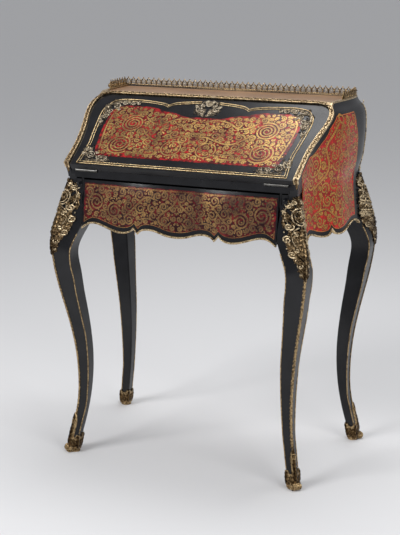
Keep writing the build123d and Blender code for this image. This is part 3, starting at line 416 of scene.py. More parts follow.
def tube(shape, path, radii, sides=6):
    """Round bar through 3-D points, closed at both ends."""
    path = [Vector(p) for p in path]
    count = len(path)
    if not hasattr(radii, "__len__"):
        radii = [radii] * count
    normal = None
    points = []
    for i, p in enumerate(path):
        t = (path[min(i + 1, count - 1)] - path[max(i - 1, 0)]).normalized()
        if normal is None:
            normal = t.orthogonal().normalized()
        normal = (normal - t * normal.dot(t)).normalized()
        other = t.cross(normal)
        for k in range(sides):
            a = tau * k / sides
            points.append(p + (normal * cos(a) + other * sin(a)) * radii[i])
    faces = [
        (i * sides + k, i * sides + (k + 1) % sides, (i + 1) * sides + (k + 1) % sides, (i + 1) * sides + k)
        for i in range(count - 1) for k in range(sides)
    ]
    faces.append(tuple(reversed(range(sides))))
    faces.append(tuple((count - 1) * sides + k for k in range(sides)))
    shape.add(points, faces)


def ball(shape, centre, radius, squash=1.0, rows=5, columns=8):
    """Small ball, flattened along Z by squash."""
    centre = Vector(centre)
    points = [centre + Vector((0, 0, radius * squash))]
    for i in range(1, rows):
        a = pi * i / rows
        for k in range(columns):
            b = tau * k / columns
            points.append(centre + Vector((
                radius * sin(a) * cos(b), radius * sin(a) * sin(b),
                radius * squash * cos(a))))
    points.append(centre - Vector((0, 0, radius * squash)))
    faces = [(0, 1 + k, 1 + (k + 1) % columns) for k in range(columns)]
    for i in range(rows - 2):
        for k in range(columns):
            a = 1 + i * columns + k
            b = 1 + i * columns + (k + 1) % columns
            faces.append((a, a + columns, b + columns, b))
    last = len(points) - 1
    base = 1 + (rows - 2) * columns
    faces += [(last, base + (k + 1) % columns, base + k) for k in range(columns)]
    shape.add(points, faces)


def bead(shape, centre, radius, squash=1.0):
    """Ball of few faces."""
    ball(shape, centre, radius, squash, 4, 6)


def spiral(centre, start, end, first_angle, turns, step=0.0012):
    """Spiral in the plane, from radius start in to radius end."""
    length = abs(turns) * tau * (start + end) / 2
    count = max(8, int(length / step))
    out = []
    for i in range(count + 1):
        t = i / count
        r = start + (end - start) * t
        a = first_angle + turns * tau * t
        out.append((centre[0] + r * cos(a), centre[1] + r * sin(a)))
    return out


# ---- surfaces that ornament lies on
def tree_of(*names):
    """What rays are cast at: the surface of one CAD node or of a few."""
    points, faces = [], []
    for name in names:
        start = len(points)
        mesh = nodes[name].data
        points += [v.co.copy() for v in mesh.vertices]
        faces += [tuple(start + i for i in p.vertices) for p in mesh.polygons]
    return BVHTree.FromPolygons(points, faces)


def strike(tree, start, direction):
    """Where a ray first meets a surface, or None."""
    return tree.ray_cast(Vector(start), Vector(direction))[0]


def on_fall(x, u, lift):
    w = FALL_THICK + lift
    return Vector((x, HINGE_Y + u * cos(SLOPE) - w * sin(SLOPE),
                   BED_TOP + u * sin(SLOPE) + w * cos(SLOPE)))


class Cast:
    """A curved face, met by looking along one direction; lean turns its lift toward the viewer."""

    def __init__(self, tree, start, direction, lean=0.35):
        self.tree = tree
        self.start = start
        self.direction = Vector(direction).normalized()
        self.lean = lean

    def hit(self, a, b):
        origin = self.start(a, b)
        place, normal, _, _ = self.tree.ray_cast(origin, self.direction)
        if place is None:
            middle = origin + self.direction * 0.15
            place, normal, _, _ = self.tree.find_nearest(middle)
        if normal.dot(self.direction) > 0:
            normal = -normal
        return place, normal

    def __call__(self, a, b, lift):
        place, normal = self.hit(a, b)
        out = (normal * (1 - self.lean) - self.direction * self.lean).normalized()
        return place + out * lift


DRAWER_TREE = tree_of("drawer_front")
SIDE_TREE = tree_of("side_panel_right")
LEG_TREE = tree_of("front_leg_right")
on_drawer = Cast(DRAWER_TREE, lambda x, z: Vector((x, -0.4, z)), (0, 1, 0))
on_side = Cast(SIDE_TREE, lambda y, z: Vector((0.5, y, z)), (-1, 0, 0))
on_leg = Cast(LEG_TREE, lambda s, z: FOOT + SIDEWAYS * s + OUTWARD * 0.2 + UP * z, -OUTWARD, 0.55)


# ---- arabesque marquetry
class Field:
    """Remembers which parts of a panel the scrollwork has taken."""

    def __init__(self, low, high, inside, pitch=0.0007):
        self.low = np.array(low)
        self.pitch = pitch
        size = ((np.array(high) - self.low) / pitch).astype(int) + 1
        a = self.low[0] + np.arange(size[0]) * pitch
        b = self.low[1] + np.arange(size[1]) * pitch
        self.free = np.array([[inside(x, y) for y in b] for x in a])

    def cells(self, points):
        return ((np.array(points) - self.low) / self.pitch).astype(int)

    def clear(self, points):
        c = self.cells(points)
        if (c < 0).any() or (c >= self.free.shape).any():
            return False
        return bool(self.free[c[:, 0], c[:, 1]].all())

    def take(self, points, radius):
        reach = int(ceil(radius / self.pitch))
        offsets = np.arange(-reach, reach + 1)
        di, dj = np.meshgrid(offsets, offsets, indexing="ij")
        near = di ** 2 + dj ** 2 <= (radius / self.pitch) ** 2
        di, dj = di[near], dj[near]
        for i, j in self.cells(points):
            a = np.clip(i + di, 0, self.free.shape[0] - 1)
            b = np.clip(j + dj, 0, self.free.shape[1] - 1)
            self.free[a, b] = False


def vine(start, heading, hand, radius, turns, step=0.0012):
    """A scroll that leaves start along heading and winds in on itself."""
    length = radius * turns * 3.9
    count = max(6, int(length / step))
    p = np.array(start, float)
    out = [p.copy()]
    for i in range(count):
        t = i / count
        r = radius * (1.15 - 0.85 * t)
        heading += hand * (length / count) / r
        p = p + np.array([cos(heading), sin(heading)]) * (length / count)
        out.append(p.copy())
    return out


def direction(path, i):
    """Angle in which a path runs at its point i."""
    a = path[max(i - 1, 0)]
    b = path[min(i + 1, len(path) - 1)]
    return atan2(b[1] - a[1], b[0] - a[0])


def branch(path, share, hand, turn=1.0):
    """The point of a path at which something leaves it, and the angle in which that runs."""
    i = int(share * (len(path) - 1))
    return path[i], direction(path, i) + hand * turn


LOBE = 0.2             # how much the edge of a large scroll waves
GRAVED_FROM = 0.001    # half width of the narrowest graved strip
GRAVED_LINE = 0.00022
OUTLINE = 0.0008       # dark line round the metal
VINE_STEP = 0.0012
BAR_MARGIN = 0.0014
STEM_TAPER = 7         # steps over which the ends of a stem grow thick


class Arabesque:
    """Grows scrolls, leaves and small curls until a panel is full."""

    def __init__(self, field, width, gap, seed):
        self.field = field
        self.width = width
        self.margin = gap + width * 0.4
        self.random = random.Random(seed)
        self.strips = []
        self.dots = []

    def lay(self, path, widths, skip):
        """Add a strip if its path is free; it may start on another strip, and skips that part."""
        if not self.field.clear(path[skip:]):
            return False
        self.field.take(path, max(widths) + self.margin)
        self.strips.append((path, widths))
        return True

    def stem(self, points, width=None):
        path = curve(points, 0.0015)
        width = width or self.width
        ends = [min(i, len(path) - 1 - i) / STEM_TAPER for i in range(len(path))]
        self.strips.append((path, [width * min(1, 0.2 + end) for end in ends]))
        self.field.take(path, width + self.margin)
        return path

    def bar(self, path, start, end):
        """A strip along a given path, from half width start to end."""
        count = len(path)
        self.strips.append((path, [start + (end - start) * i / count for i in range(count)]))
        self.field.take(path, max(start, end) + BAR_MARGIN)
        return path

    def scroll(self, start, heading, hand, radius, depth, skip_distance=0.006):
        path = vine(start, heading, hand, radius, 1.55 if radius > 0.009 else 1.25, VINE_STEP)
        skip = int(skip_distance / VINE_STEP)
        count = len(path)
        lobe = LOBE if radius > 0.0055 else 0.0
        widths = [self.width * (1.1 - 0.5 * i / count) * min(1, 0.3 + i / 4) * (1 - lobe * cos(i * 1.9))
                  for i in range(count)]
        if skip >= count - 3 or not self.lay(path, widths, skip):
            return False
        self.dots.append((path[-1], self.width * 0.95))
        if radius > 0.006:
            for share in (0.16, 0.34, 0.52, 0.68):
                self.curl(*branch(path, share, -hand), -hand, radius * 0.36, 0.62, 0.35, 0.75, 4)
        if depth > 0:
            for share, size in ((0.2, 0.62), (0.42, 0.48)):
                self.scroll(*branch(path, share, -hand, 0.35), -hand, radius * size, depth - 1)
        return True

    def curl(self, start, heading, hand, size, turns, thin, thick, skip):
        """Small acanthus curl, thickest in its middle."""
        path = vine(start, heading, hand, size, turns, 0.0008)
        count = len(path)
        widths = [self.width * (thin + thick * swell(k / (count - 1), 0.7)) for k in range(count)]
        self.lay(path, widths, min(skip, count - 2))

    def line_of_scrolls(self, path, spacing, radius):
        total = 0.0
        next_at = spacing * 0.4
        hand = 1
        for i in range(1, len(path)):
            total += float(np.linalg.norm(np.array(path[i]) - np.array(path[i - 1])))
            if total >= next_at:
                heading = direction(path, i) + hand * 0.45
                for size in (radius, radius * 0.75, radius * 0.55):
                    if self.scroll(path[i], heading, hand, size, 2):
                        break
                hand = -hand
                next_at += spacing

    def grow(self, lines, tries, sizes):
        """Scrolls along lines of (path, spacing, radius), then smaller ones where there is room."""
        for path, spacing, radius in lines:
            self.line_of_scrolls(path, spacing, radius)
        free = np.argwhere(self.field.free)
        for size in sizes:
            for _ in range(tries):
                cell = free[self.random.randrange(len(free))]
                start = self.field.low + cell * self.field.pitch
                heading = self.random.uniform(0, tau)
                hand = self.random.choice((-1, 1))
                if size > 0.0035:
                    self.scroll(start, heading, hand, size, 0, 0.0)
                else:
                    self.curl(start, heading, hand, size, 0.7, 0.25, 0.7, 0)

    def mesh(self, place, lift, halves, grow=0.0):
        """Flat metal of every scroll; grow widens it, for the dark line round the metal."""
        shape = Shape()
        for side in halves:
            for path, widths in self.strips:
                ribbon(shape, turned(path, side), [w + grow for w in widths], place, lift)
            for (x, y), radius in self.dots:
                ring = oval(x * side, y, radius + grow, radius + grow, 8)[:-1]
                shape.add(laid(ring, place, lift), [tuple(range(8))])
        return shape

    def graving(self, shape, place, lift, halves):
        """Dark line along the middle of the broader scrolls."""
        for side in halves:
            for path, widths in self.strips:
                if max(widths) >= GRAVED_FROM and len(path) >= 9:
                    inner = turned(path[2:-3], side)
                    ribbon(shape, inner, [GRAVED_LINE] * len(inner), place, lift)


def inlay(name, art, place, look, halves=HALVES, rim=None):
    """A panel's brass, and its dark lines, each with its name and look."""
    dark = art.mesh(place, OUTLINE_LIFT, halves, OUTLINE)
    art.graving(dark, place, GRAVED_LIFT, halves)
    metal = art.mesh(place, METAL, halves)
    if rim:
        ribbon(metal, rim, [0.0006] * len(rim), place, METAL)
    return [(f"{name}_brass", metal, look), (f"{name}_graving", dark, GRAVING)]


def veneer(low_edge, high_edge, rows, place):
    """Thin sheet between two edges given as equal lists of 2-D points."""
    shape = Shape()
    points = [place(a[0] + (b[0] - a[0]) * t, a[1] + (b[1] - a[1]) * t, GROUND)
              for a, b in zip(low_edge, high_edge) for t in (j / rows for j in range(rows + 1))]
    shape.add(points, grid(len(low_edge), rows + 1))
    return shape


# ---- marquetry of the fall
FIELD_LOW = 0.037
FIELD_HALF = 0.256
FIELD_EDGE = 0.005      # free strip inside the edge of a field
CUSP = 0.11


def fall_side(u):
    """Half width of the marquetry field on the fall."""
    return float(np.interp(u, [FIELD_LOW, 0.066, 0.1, 0.135, 0.19, 0.206, 0.218],
                           [0.236, 0.246, 0.2515, 0.2555, FIELD_HALF, 0.2535, 0.246]))


def fall_top(x):
    """Upper edge of the field: two cusps either side of a hump in the middle."""
    x = abs(x)
    if x < CUSP:
        t = x / CUSP
        return 0.207 - 0.018 * sin(pi * t) ** 2 * (1 - t) - 0.016 * (1 - t) ** 2
    t = (x - CUSP) / (FIELD_HALF - CUSP)
    return 0.207 + 0.015 * sin(pi / 2 * min(t / 0.4, 1)) - 0.016 * max(0, (t - 0.78) / 0.22) ** 2


def on_field(share, u, lift):
    """Place on the fall by its share of the field's half width, and height up the slope."""
    return on_fall(share * fall_side(u), u, lift)


def inside_fall(x, u):
    return 0 <= x < fall_side(u) - FIELD_EDGE and FIELD_LOW + FIELD_EDGE < u < fall_top(x) - FIELD_EDGE


shares = spread(-1, 1, 96)
low = [(share, FIELD_LOW) for share in shares]
high = [(share, fall_top(share * FIELD_HALF)) for share in shares]
piece("fall_shell_veneer", veneer(low, high, 16, on_field), SHELL_FALL, "fall")
art = Arabesque(Field((0, 0.03), (0.262, 0.23), inside_fall, 0.0006), 0.00205, 0.00075, 11)
ROSETTE = (0.046, 0.079)
art.bar(oval(*ROSETTE, 0.0245, 0.0245, 60), 0.0016, 0.0016)
for quarter in range(4):
    a = quarter * pi / 2 + pi / 4
    art.scroll((ROSETTE[0] + 0.003 * cos(a), ROSETTE[1] + 0.003 * sin(a)), a, 1, 0.0085, 0, 0.0)
big_low, big_high, _ = [
    art.bar(spiral(centre, radius, 0.003, first, turns), 0.0021, 0.0012)
    for centre, radius, first, turns in (
        ((0.186, 0.082), 0.034, -2.4, 3.4), ((0.178, 0.158), 0.031, 2.2, -3.4),
        ((0.028, 0.158), 0.013, 1.2, -2.0),
    )
]
band = art.stem([(0.072, 0.055), (0.105, 0.052), (0.135, 0.054), (0.158, 0.058)])
art.stem([(0.074, 0.07), (0.105, 0.068), (0.138, 0.07), (0.152, 0.074)], 0.0012)
sweep = art.stem([(0.004, 0.118), (0.03, 0.124), (0.062, 0.112), (0.098, 0.104), (0.128, 0.122),
                  (0.146, 0.144)], 0.0021)
crown_stem = art.stem([(0.006, 0.176), (0.04, 0.186), (0.075, 0.178), (0.105, 0.16), (0.132, 0.168),
                       (0.152, 0.186)], 0.0021)
outer = art.stem([(0.234, 0.06), (0.241, 0.1), (0.246, 0.14), (0.246, 0.185), (0.232, 0.208)], 0.0019)
art.grow([(sweep, 0.021, 0.0125), (crown_stem, 0.022, 0.011), (band, 0.02, 0.0095), (outer, 0.02, 0.009),
          (big_low[:30], 0.02, 0.01), (big_high[:30], 0.02, 0.01)],
         900, (0.0085, 0.006, 0.0042, 0.003, 0.0022, 0.0016, 0.0012))
for name, shape, look in inlay("fall", art, on_fall, INLAY):
    piece(name, shape, look, "fall", smooth=False)


# ---- marquetry of the drawer front
DRAWER_HALF = 0.2515    # half width of the drawer's marquetry
DRAWER_BORDER = 0.009
DRAWER_FIELD_TOP = 0.7125


def drawer_edge(x):
    """Height of the scalloped edge at x."""
    place = strike(DRAWER_TREE, (x, -0.18, 0.5), (0, 0, 1))
    return place.z if place else 0.604


edge_x = spread(-DRAWER_HALF, DRAWER_HALF, 140)
edge_z = [drawer_edge(x) for x in edge_x]


def drawer_low(x):
    return float(np.interp(x, edge_x, edge_z)) + DRAWER_BORDER


def inside_drawer(x, z):
    return 0 <= x < DRAWER_HALF - FIELD_EDGE and drawer_low(x) + 0.004 < z < DRAWER_FIELD_TOP - 0.0065


low = [(x, drawer_low(x)) for x in edge_x]
high = [(x, DRAWER_FIELD_TOP) for x in edge_x]
piece("drawer_shell_veneer", veneer(low, high, 14, on_drawer), SHELL_DRAWER_SHADED, "drawer")
art = Arabesque(Field((0, 0.59), (0.25, 0.72), inside_drawer, 0.0006), 0.0019, 0.0007, 23)
middle_motif = art.stem([(0.0, 0.694), (0.01, 0.676), (0.03, 0.66), (0.046, 0.644), (0.042, 0.63),
                         (0.026, 0.626), (0.014, 0.636)], 0.0022)
end_scroll = art.bar(spiral((0.217, 0.668), 0.023, 0.003, -1.2, 2.2), 0.0021, 0.0011)
end_curl = art.bar(spiral((0.166, 0.652), 0.02, 0.003, 2.6, -2.1), 0.002, 0.0011)
vine_line = art.stem([(0.05, 0.684), (0.08, 0.69), (0.104, 0.67), (0.128, 0.646), (0.14, 0.64)], 0.0019)
low_line = art.stem([(0.058, 0.636), (0.08, 0.64), (0.1, 0.634)], 0.0015)
art.grow([(middle_motif, 0.019, 0.01), (vine_line, 0.019, 0.012), (low_line, 0.018, 0.009),
          (end_scroll[:30], 0.018, 0.008), (end_curl[:30], 0.018, 0.008)],
         800, (0.01, 0.007, 0.0048, 0.0032, 0.0022, 0.0016, 0.0012))
rim = [(x * 0.99, z + 0.0012) for x, z in low] + [(x * 0.99, z - 0.0035) for x, z in reversed(high)]
drawer_inlay = inlay("drawer", art, on_drawer, INLAY_DRAWER_SHADED, rim=rim + [rim[0]])
inner_line = [(x * 0.982, z - 0.0056) for x, z in high]
ribbon(drawer_inlay[0][1], inner_line, [0.0005] * len(inner_line), on_drawer, METAL)
for name, shape, look in drawer_inlay:
    piece(name, shape, look, "drawer", smooth=False)


# ---- marquetry of the sides
SIDE_BORDER = 0.009
SHOULDER_Z = CASE_TOP - 0.022
FIELD_FRONT = -0.17
FIELD_REAR = 0.1265


def side_low_edge(y):
    x = on_side.hit(y, 0.63)[0].x - 0.01
    place = strike(SIDE_TREE, (x, y, 0.55), (0, 0, 1))
    return place.z if place else 0.61


def side_high_edge(y):
    """Highest point of the side near its outer face."""
    x = on_side.hit(y, 0.735)[0].x
    found = [strike(SIDE_TREE, (x - 0.004 - 0.0025 * k, y, 1.0), (0, 0, -1)) for k in range(12)]
    return max([0.75] + [place.z for place in found if place])


side_y = spread(-0.186, 0.166, 120)
side_lows = []
side_highs = []
for y in side_y:
    under_post = -POST_Y + 0.004 < y < POST_Y - 0.002
    front_low = float(np.interp(y, [-0.172, -0.16, -0.15], [0.756, 0.738, 0.722]))
    side_lows.append((side_low_edge(y) if under_post else front_low) + SIDE_BORDER)
    rear_high = float(np.interp(y, [0.08, 0.097, 0.111, 0.118, 0.126], [1.0, 0.858, 0.824, 0.786, 0.747]))
    side_highs.append(min(side_high_edge(y) - SIDE_BORDER, SHOULDER_Z, rear_high))


def side_low(y):
    return max(float(np.interp(y, side_y, side_lows)), float(np.interp(y, [0.112, FIELD_REAR], [0.0, 0.7])))


def side_high(y):
    return max(float(np.interp(y, side_y, side_highs)), side_low(y) + 0.002)


def inside_side(y, z):
    within = FIELD_FRONT + FIELD_EDGE < y < FIELD_REAR - 0.004
    return within and side_low(y) + FIELD_EDGE < z < side_high(y) - FIELD_EDGE


field_y = spread(FIELD_FRONT, FIELD_REAR, 130)
low = [(y, side_low(y)) for y in field_y]
high = [(y, side_high(y)) for y in field_y]
side_ground = veneer(low, high, 30, on_side)
art = Arabesque(Field((-0.175, 0.59), (0.135, 0.9), inside_side, 0.0007), 0.00235, 0.00085, 5)
art.bar(oval(0.013, 0.876, 0.0095, 0.0095, 60), 0.0026, 0.0026)
spine = art.stem([(0.003, 0.869), (-0.01, 0.86), (-0.026, 0.844), (-0.043, 0.828), (-0.051, 0.812),
                  (-0.042, 0.794), (-0.034, 0.768), (-0.044, 0.745), (-0.067, 0.729),
                  (-0.087, 0.716)], 0.0032)
art.bar(oval(-0.094, 0.776, 0.026, 0.026, 60), 0.0024, 0.0024)
rear_stem = art.stem([(0.03, 0.872), (0.05, 0.84), (0.046, 0.8), (0.066, 0.76), (0.08, 0.715),
                      (0.06, 0.672), (0.036, 0.648)], 0.0024)
low_stem = art.stem([(-0.118, 0.642), (-0.08, 0.66), (-0.04, 0.664), (0.0, 0.64), (0.03, 0.634)], 0.002)
art.grow([(spine, 0.024, 0.016), (rear_stem, 0.026, 0.018), (low_stem, 0.024, 0.014)],
         900, (0.015, 0.01, 0.007, 0.0046, 0.003, 0.0022, 0.0015))
rim = [(y, z + 0.0012) for y, z in low] + [(y, z - 0.0012) for y, z in reversed(high)]
side_inlay = inlay("side", art, on_side, INLAY_SIDE, (1,), rim + [rim[0]])
for side, move in SIDES.items():
    piece(f"side_shell_veneer_{side}", side_ground.moved(*move), SHELL_SIDE)
    for name, shape, look in side_inlay:
        piece(f"{name}_{side}", shape.moved(*move), look, smooth=False)


# ---- bronze on the fall
def fillet_path(inset):
    low_u = 0.006 + inset
    top = FALL_LENGTH - 0.016 - inset
    edge = FALL_HALF - 0.004 - inset
    right = curve([
        (edge, low_u), (edge - 0.004, 0.071), (edge + 0.003, 0.131), (edge + 0.008, 0.1965),
        (edge - 0.003, 0.226), (edge - 0.018, top - 0.006), (FALL_HALF * 0.8, top),
        (FALL_HALF * 0.59, top - 0.002), (FALL_HALF * 0.43, top - 0.009), (FALL_HALF * 0.39, top - 0.015),
    ], 0.004)
    middle = curve([
        (FALL_HALF * 0.39, top - 0.015), (FALL_HALF * 0.35, top - 0.007), (FALL_HALF * 0.27, top - 0.001),
        (FALL_HALF * 0.12, top + 0.004), (0.024, top + 0.005),
    ], 0.004)
    return right + middle[1:]


fillet = Shape()
for inset, radius in ((0.0008, 0.0013), (0.007, 0.0009)):
    half = fillet_path(inset)
    for side in HALVES:
        tube(fillet, laid(half, on_fall, 0.0006, side), radius)
    edge, low_u = half[0]
    tube(fillet, [on_fall(x, low_u, 0.0006) for x in spread(-edge, edge, 40)], radius)
piece("fall_fillet_lines", fillet, GILT_LINE, "fall", replaces="fall_fillet")


def volute(shape, side, centre, radius, first, turns, place, lift, bar, core=0.22, step=0.0016,
           thick=1.1, taper=0.4, knob=1.2):
    """A round bar that winds inward to a knob, mirrored where side is -1."""
    path = spiral((centre[0] * side, centre[1]), radius, radius * core, first if side > 0 else pi - first,
                  turns * side, step)
    count = len(path)
    tube(shape, laid(path, place, lift), [bar * (thick - taper * i / count) for i in range(count)])
    ball(shape, place(*path[-1], lift), bar * knob)


def filigree(shape, seed, count, inside, place, lift, size):
    """Small leaves scattered over a casting, the same on both halves."""
    chance = random.Random(seed)
    for _ in range(count):
        start = inside(chance)
        heading = chance.uniform(0, tau)
        hand = chance.choice((-1, 1))
        radius = size * chance.uniform(0.6, 1.1)
        path = vine(start, heading, hand, radius, chance.uniform(0.35, 0.8), 0.001)
        high = lift * chance.uniform(0.3, 1.0)
        for side in HALVES:
            leaf(shape, turned(path, side), radius * 0.42, place, high, radius * 0.42, 2)


def fall_casting(shape, leaves, curls, crown, raise_by=0.0):
    """Leaves and curls of a casting on the fall, both halves, raise_by further up the slope."""
    for side in HALVES:
        for points, width in leaves:
            path = curve([(x * side, u + raise_by) for x, u in points], 0.002)
            leaf(shape, path, width, on_fall, 0.0002, crown)
        for (x, u), radius, first, turns in curls:
            volute(shape, side, (x, u + raise_by), radius, first, turns, on_fall, 0.0012, 0.0013)


# Leaves are points and a half width; curls are centre, radius, first angle and turns.
UPPER_LEAVES = [
    ([(0.272, 0.15), (0.276, 0.172), (0.269, 0.196)], 0.0058),
    ([(0.262, 0.168), (0.266, 0.186), (0.276, 0.208)], 0.0058),
    ([(0.276, 0.196), (0.271, 0.22), (0.25, 0.234)], 0.0062),
    ([(0.262, 0.222), (0.24, 0.237), (0.216, 0.236)], 0.006),
    ([(0.232, 0.226), (0.214, 0.236), (0.194, 0.233)], 0.0055),
    ([(0.252, 0.204), (0.244, 0.216), (0.228, 0.22)], 0.005),
    ([(0.206, 0.228), (0.196, 0.238), (0.18, 0.236)], 0.0045),
    ([(0.27, 0.142), (0.266, 0.152), (0.27, 0.164)], 0.004),
]
UPPER_CURLS = [
    ((0.266, 0.178), 0.009, 1.6, 1.4), ((0.259, 0.199), 0.0085, 0.2, -1.4),
    ((0.247, 0.216), 0.0105, 0.8, 1.5), ((0.228, 0.229), 0.0085, 3.1, -1.4),
    ((0.207, 0.231), 0.0075, 2.2, 1.3), ((0.27, 0.158), 0.006, 2.6, 1.2), ((0.238, 0.205), 0.005, 0.5, 1.2),
    ((0.19, 0.23), 0.005, 1.0, -1.2), ((0.256, 0.184), 0.0042, 3.0, 1.2),
]
LOWER_LEAVES = [
    ([(0.264, 0.07), (0.268, 0.052), (0.258, 0.032)], 0.0058),
    ([(0.252, 0.062), (0.256, 0.044), (0.268, 0.03)], 0.005),
    ([(0.192, 0.026), (0.214, 0.02), (0.24, 0.022)], 0.0055),
    ([(0.204, 0.036), (0.224, 0.032), (0.244, 0.04)], 0.005),
    ([(0.258, 0.026), (0.246, 0.018), (0.23, 0.018)], 0.0045),
]
LOWER_CURLS = [
    ((0.247, 0.036), 0.0125, 0.6, 1.7), ((0.222, 0.028), 0.008, 3.4, -1.4), ((0.262, 0.056), 0.007, 2.2, 1.4),
    ((0.204, 0.027), 0.006, 1.2, 1.3), ((0.232, 0.044), 0.0048, 0.2, 1.2),
    ((0.268, 0.041), 0.0045, 0.9, -1.2),
]
corners = Shape()
fall_casting(corners, UPPER_LEAVES + LOWER_LEAVES, UPPER_CURLS + LOWER_CURLS, 0.0024)


def near_upper(chance):
    if chance.random() < 0.5:
        return chance.uniform(0.256, 0.277), chance.uniform(0.15, 0.226)
    return chance.uniform(0.188, 0.268), chance.uniform(0.222, 0.24)


def near_lower(chance):
    if chance.random() < 0.4:
        return chance.uniform(0.25, 0.27), chance.uniform(0.024, 0.07)
    return chance.uniform(0.192, 0.262), chance.uniform(0.018, 0.04)


filigree(corners, 3, 60, near_upper, on_fall, 0.0008, 0.0042)
filigree(corners, 4, 34, near_lower, on_fall, 0.0008, 0.004)
piece("fall_corner_castings", corners, GILT_WORN, "fall", replaces="fall_corner_mounts")

KEY_U = FALL_LENGTH - 0.02      # middle of the escutcheon
CARTOUCHE_LEAVES = [
    ([(0.004, -0.018), (0.018, -0.026), (0.037, -0.02)], 0.0062),
    ([(0.003, -0.026), (0.01, -0.036), (0.001, -0.047)], 0.0058),
    ([(0.006, 0.004), (0.016, 0.008), (0.022, -0.006)], 0.0048),
    ([(0.02, -0.01), (0.03, -0.008), (0.036, -0.014)], 0.004),
    ([(0.012, -0.04), (0.02, -0.036), (0.026, -0.028)], 0.004),
]
CARTOUCHE_CURLS = [
    ((0.024, -0.019), 0.009, 2.4, 1.4), ((0.011, -0.031), 0.007, 0.5, 1.3),
    ((0.015, -0.006), 0.0065, 1.2, -1.3), ((0.031, -0.012), 0.005, 0.4, 1.2),
    ((0.01, 0.009), 0.0045, 2.0, 1.2), ((0.005, -0.042), 0.004, 1.4, -1.2),
]
cartouche = Shape()
fall_casting(cartouche, CARTOUCHE_LEAVES, CARTOUCHE_CURLS, 0.0022, KEY_U)
tube(cartouche, laid(oval(0, KEY_U, 0.0085, 0.0085, 24), on_fall, 0.0014), 0.0014)
cartouche.add(laid(oval(0, KEY_U, 0.008, 0.008, 24)[:-1], on_fall, 0.0006), [tuple(range(24))])
ball(cartouche, on_fall(0, KEY_U, 0.0004), 0.0036, 0.6)


def near_key(chance):
    return chance.uniform(0.006, 0.034), KEY_U + chance.uniform(-0.036, 0.004)


filigree(cartouche, 7, 26, near_key, on_fall, 0.0006, 0.004)
piece("fall_cartouche", cartouche, GILT_WORN, "fall", replaces="fall_escutcheon")


# ---- gallery
GALLERY_FOOT = 0.9137
PITCH = 0.015


def gallery(shape, place, length, front):
    """Pointed arches over small loops, with a ball on every point, between a foot rail and leaves."""
    count = int(round(length / PITCH))
    pitch = length / count
    halves = spread(0, length, count * 2)
    tube(shape, [place(s, 0.0012) for s in halves], 0.0014)
    for foot, peak, radius in ((0.0108, 0.0186, 0.0013), (0.005, 0.0118, 0.0011)):
        tube(shape, [place(s, peak if i % 2 else foot) for i, s in enumerate(halves)], radius, 5)
    for i in range(count):
        start = i * pitch
        middle = (i + 0.5) * pitch
        tube(shape, [place(s, h) for s, h in oval(middle, 0.0016, 0.0038, 0.0058, 8, pi)], 0.001, 5)
        tube(shape, [place(start, h) for h in (0.0012, 0.006, 0.0112)], [0.001, 0.0018, 0.001], 5)
        for face in HALVES:
            def plate(s, h, lift, face=face):
                return place(s, h) + front * face * (0.0004 + lift)

            stalk = curve([(start, 0.0012), (start, 0.007), (start, 0.0135)])
            leaf(shape, stalk, 0.0034, plate, 0.0, 0.0009, 2)
            for hand in HALVES:
                tip = [(middle + 0.0062 * hand, 0.01), (middle + 0.0034 * hand, 0.014), (middle, 0.0194)]
                leaf(shape, curve(tip), 0.0018, plate, 0.0, 0.0008, 2)
        for s, h, radius in ((middle, 0.0196, 0.0016), (middle, 0.004, 0.0016), (start, 0.012, 0.0019)):
            bead(shape, place(s, h), radius)


low_corner, high_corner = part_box("gallery_back")
back_y = high_corner.y - 0.0022
shape = Shape()
gallery(shape, lambda s, h: Vector((low_corner.x + 0.001 + s, back_y, GALLERY_FOOT + h)),
        high_corner.x - low_corner.x - 0.002, Vector((0, -1, 0)))
rail_ends = (low_corner.x + 0.012, high_corner.x - 0.012)
tube(shape, [Vector((x, back_y, GALLERY_FOOT - 0.0018)) for x in rail_ends], 0.0016)
piece("gallery_back_cast", shape, GILT_DARK, replaces="gallery_back")
low_corner, high_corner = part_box("gallery_side_right")
GALLERY_TREE = tree_of("gallery_side_right")


def gallery_line(s, h):
    y = low_corner.y + 0.001 + s
    place = strike(GALLERY_TREE, (0.4, y, GALLERY_FOOT + 0.0008), (-1, 0, 0))
    return Vector((place.x - 0.002 if place else high_corner.x - 0.003, y, GALLERY_FOOT + h))


shape = Shape()
gallery(shape, gallery_line, high_corner.y - low_corner.y - 0.002, Vector((1, 0, 0)))
for side, move in SIDES.items():
    piece(f"gallery_cast_{side}", shape.moved(*move), GILT_DARK, replaces=f"gallery_side_{side}")


# ---- veneer on the top
TOP_TREE = tree_of("top_board")


def top_half(y):
    return strike(TOP_TREE, (0.5, y, CASE_TOP - 0.0015), (-1, 0, 0)).x - 0.011


rows_y = spread(0.03, 0.178, 24)
sheet = veneer([(-top_half(y), y) for y in rows_y], [(top_half(y), y) for y in rows_y], 8,
               lambda x, y, lift: Vector((x, y, CASE_TOP + lift)))
piece("top_veneer_sheet", sheet.moved(Vector, True), TOP_VENEER)


# ---- strip on the sloping edges
OFF_FALL = (on_fall(0, 0, 1) - on_fall(0, 0, 0)).normalized()
BAND_TREE = tree_of("slant_moulding_right", "top_moulding")
on_band = Cast(BAND_TREE, lambda x, u: on_fall(x, u, 0.03), -OFF_FALL, 0.6)
CHIN_TREE = tree_of("slant_moulding_right", "side_panel_right")
on_chin = Cast(CHIN_TREE, lambda x, z: Vector((x, -0.3, z)), (0, 1, 0), 0.7)
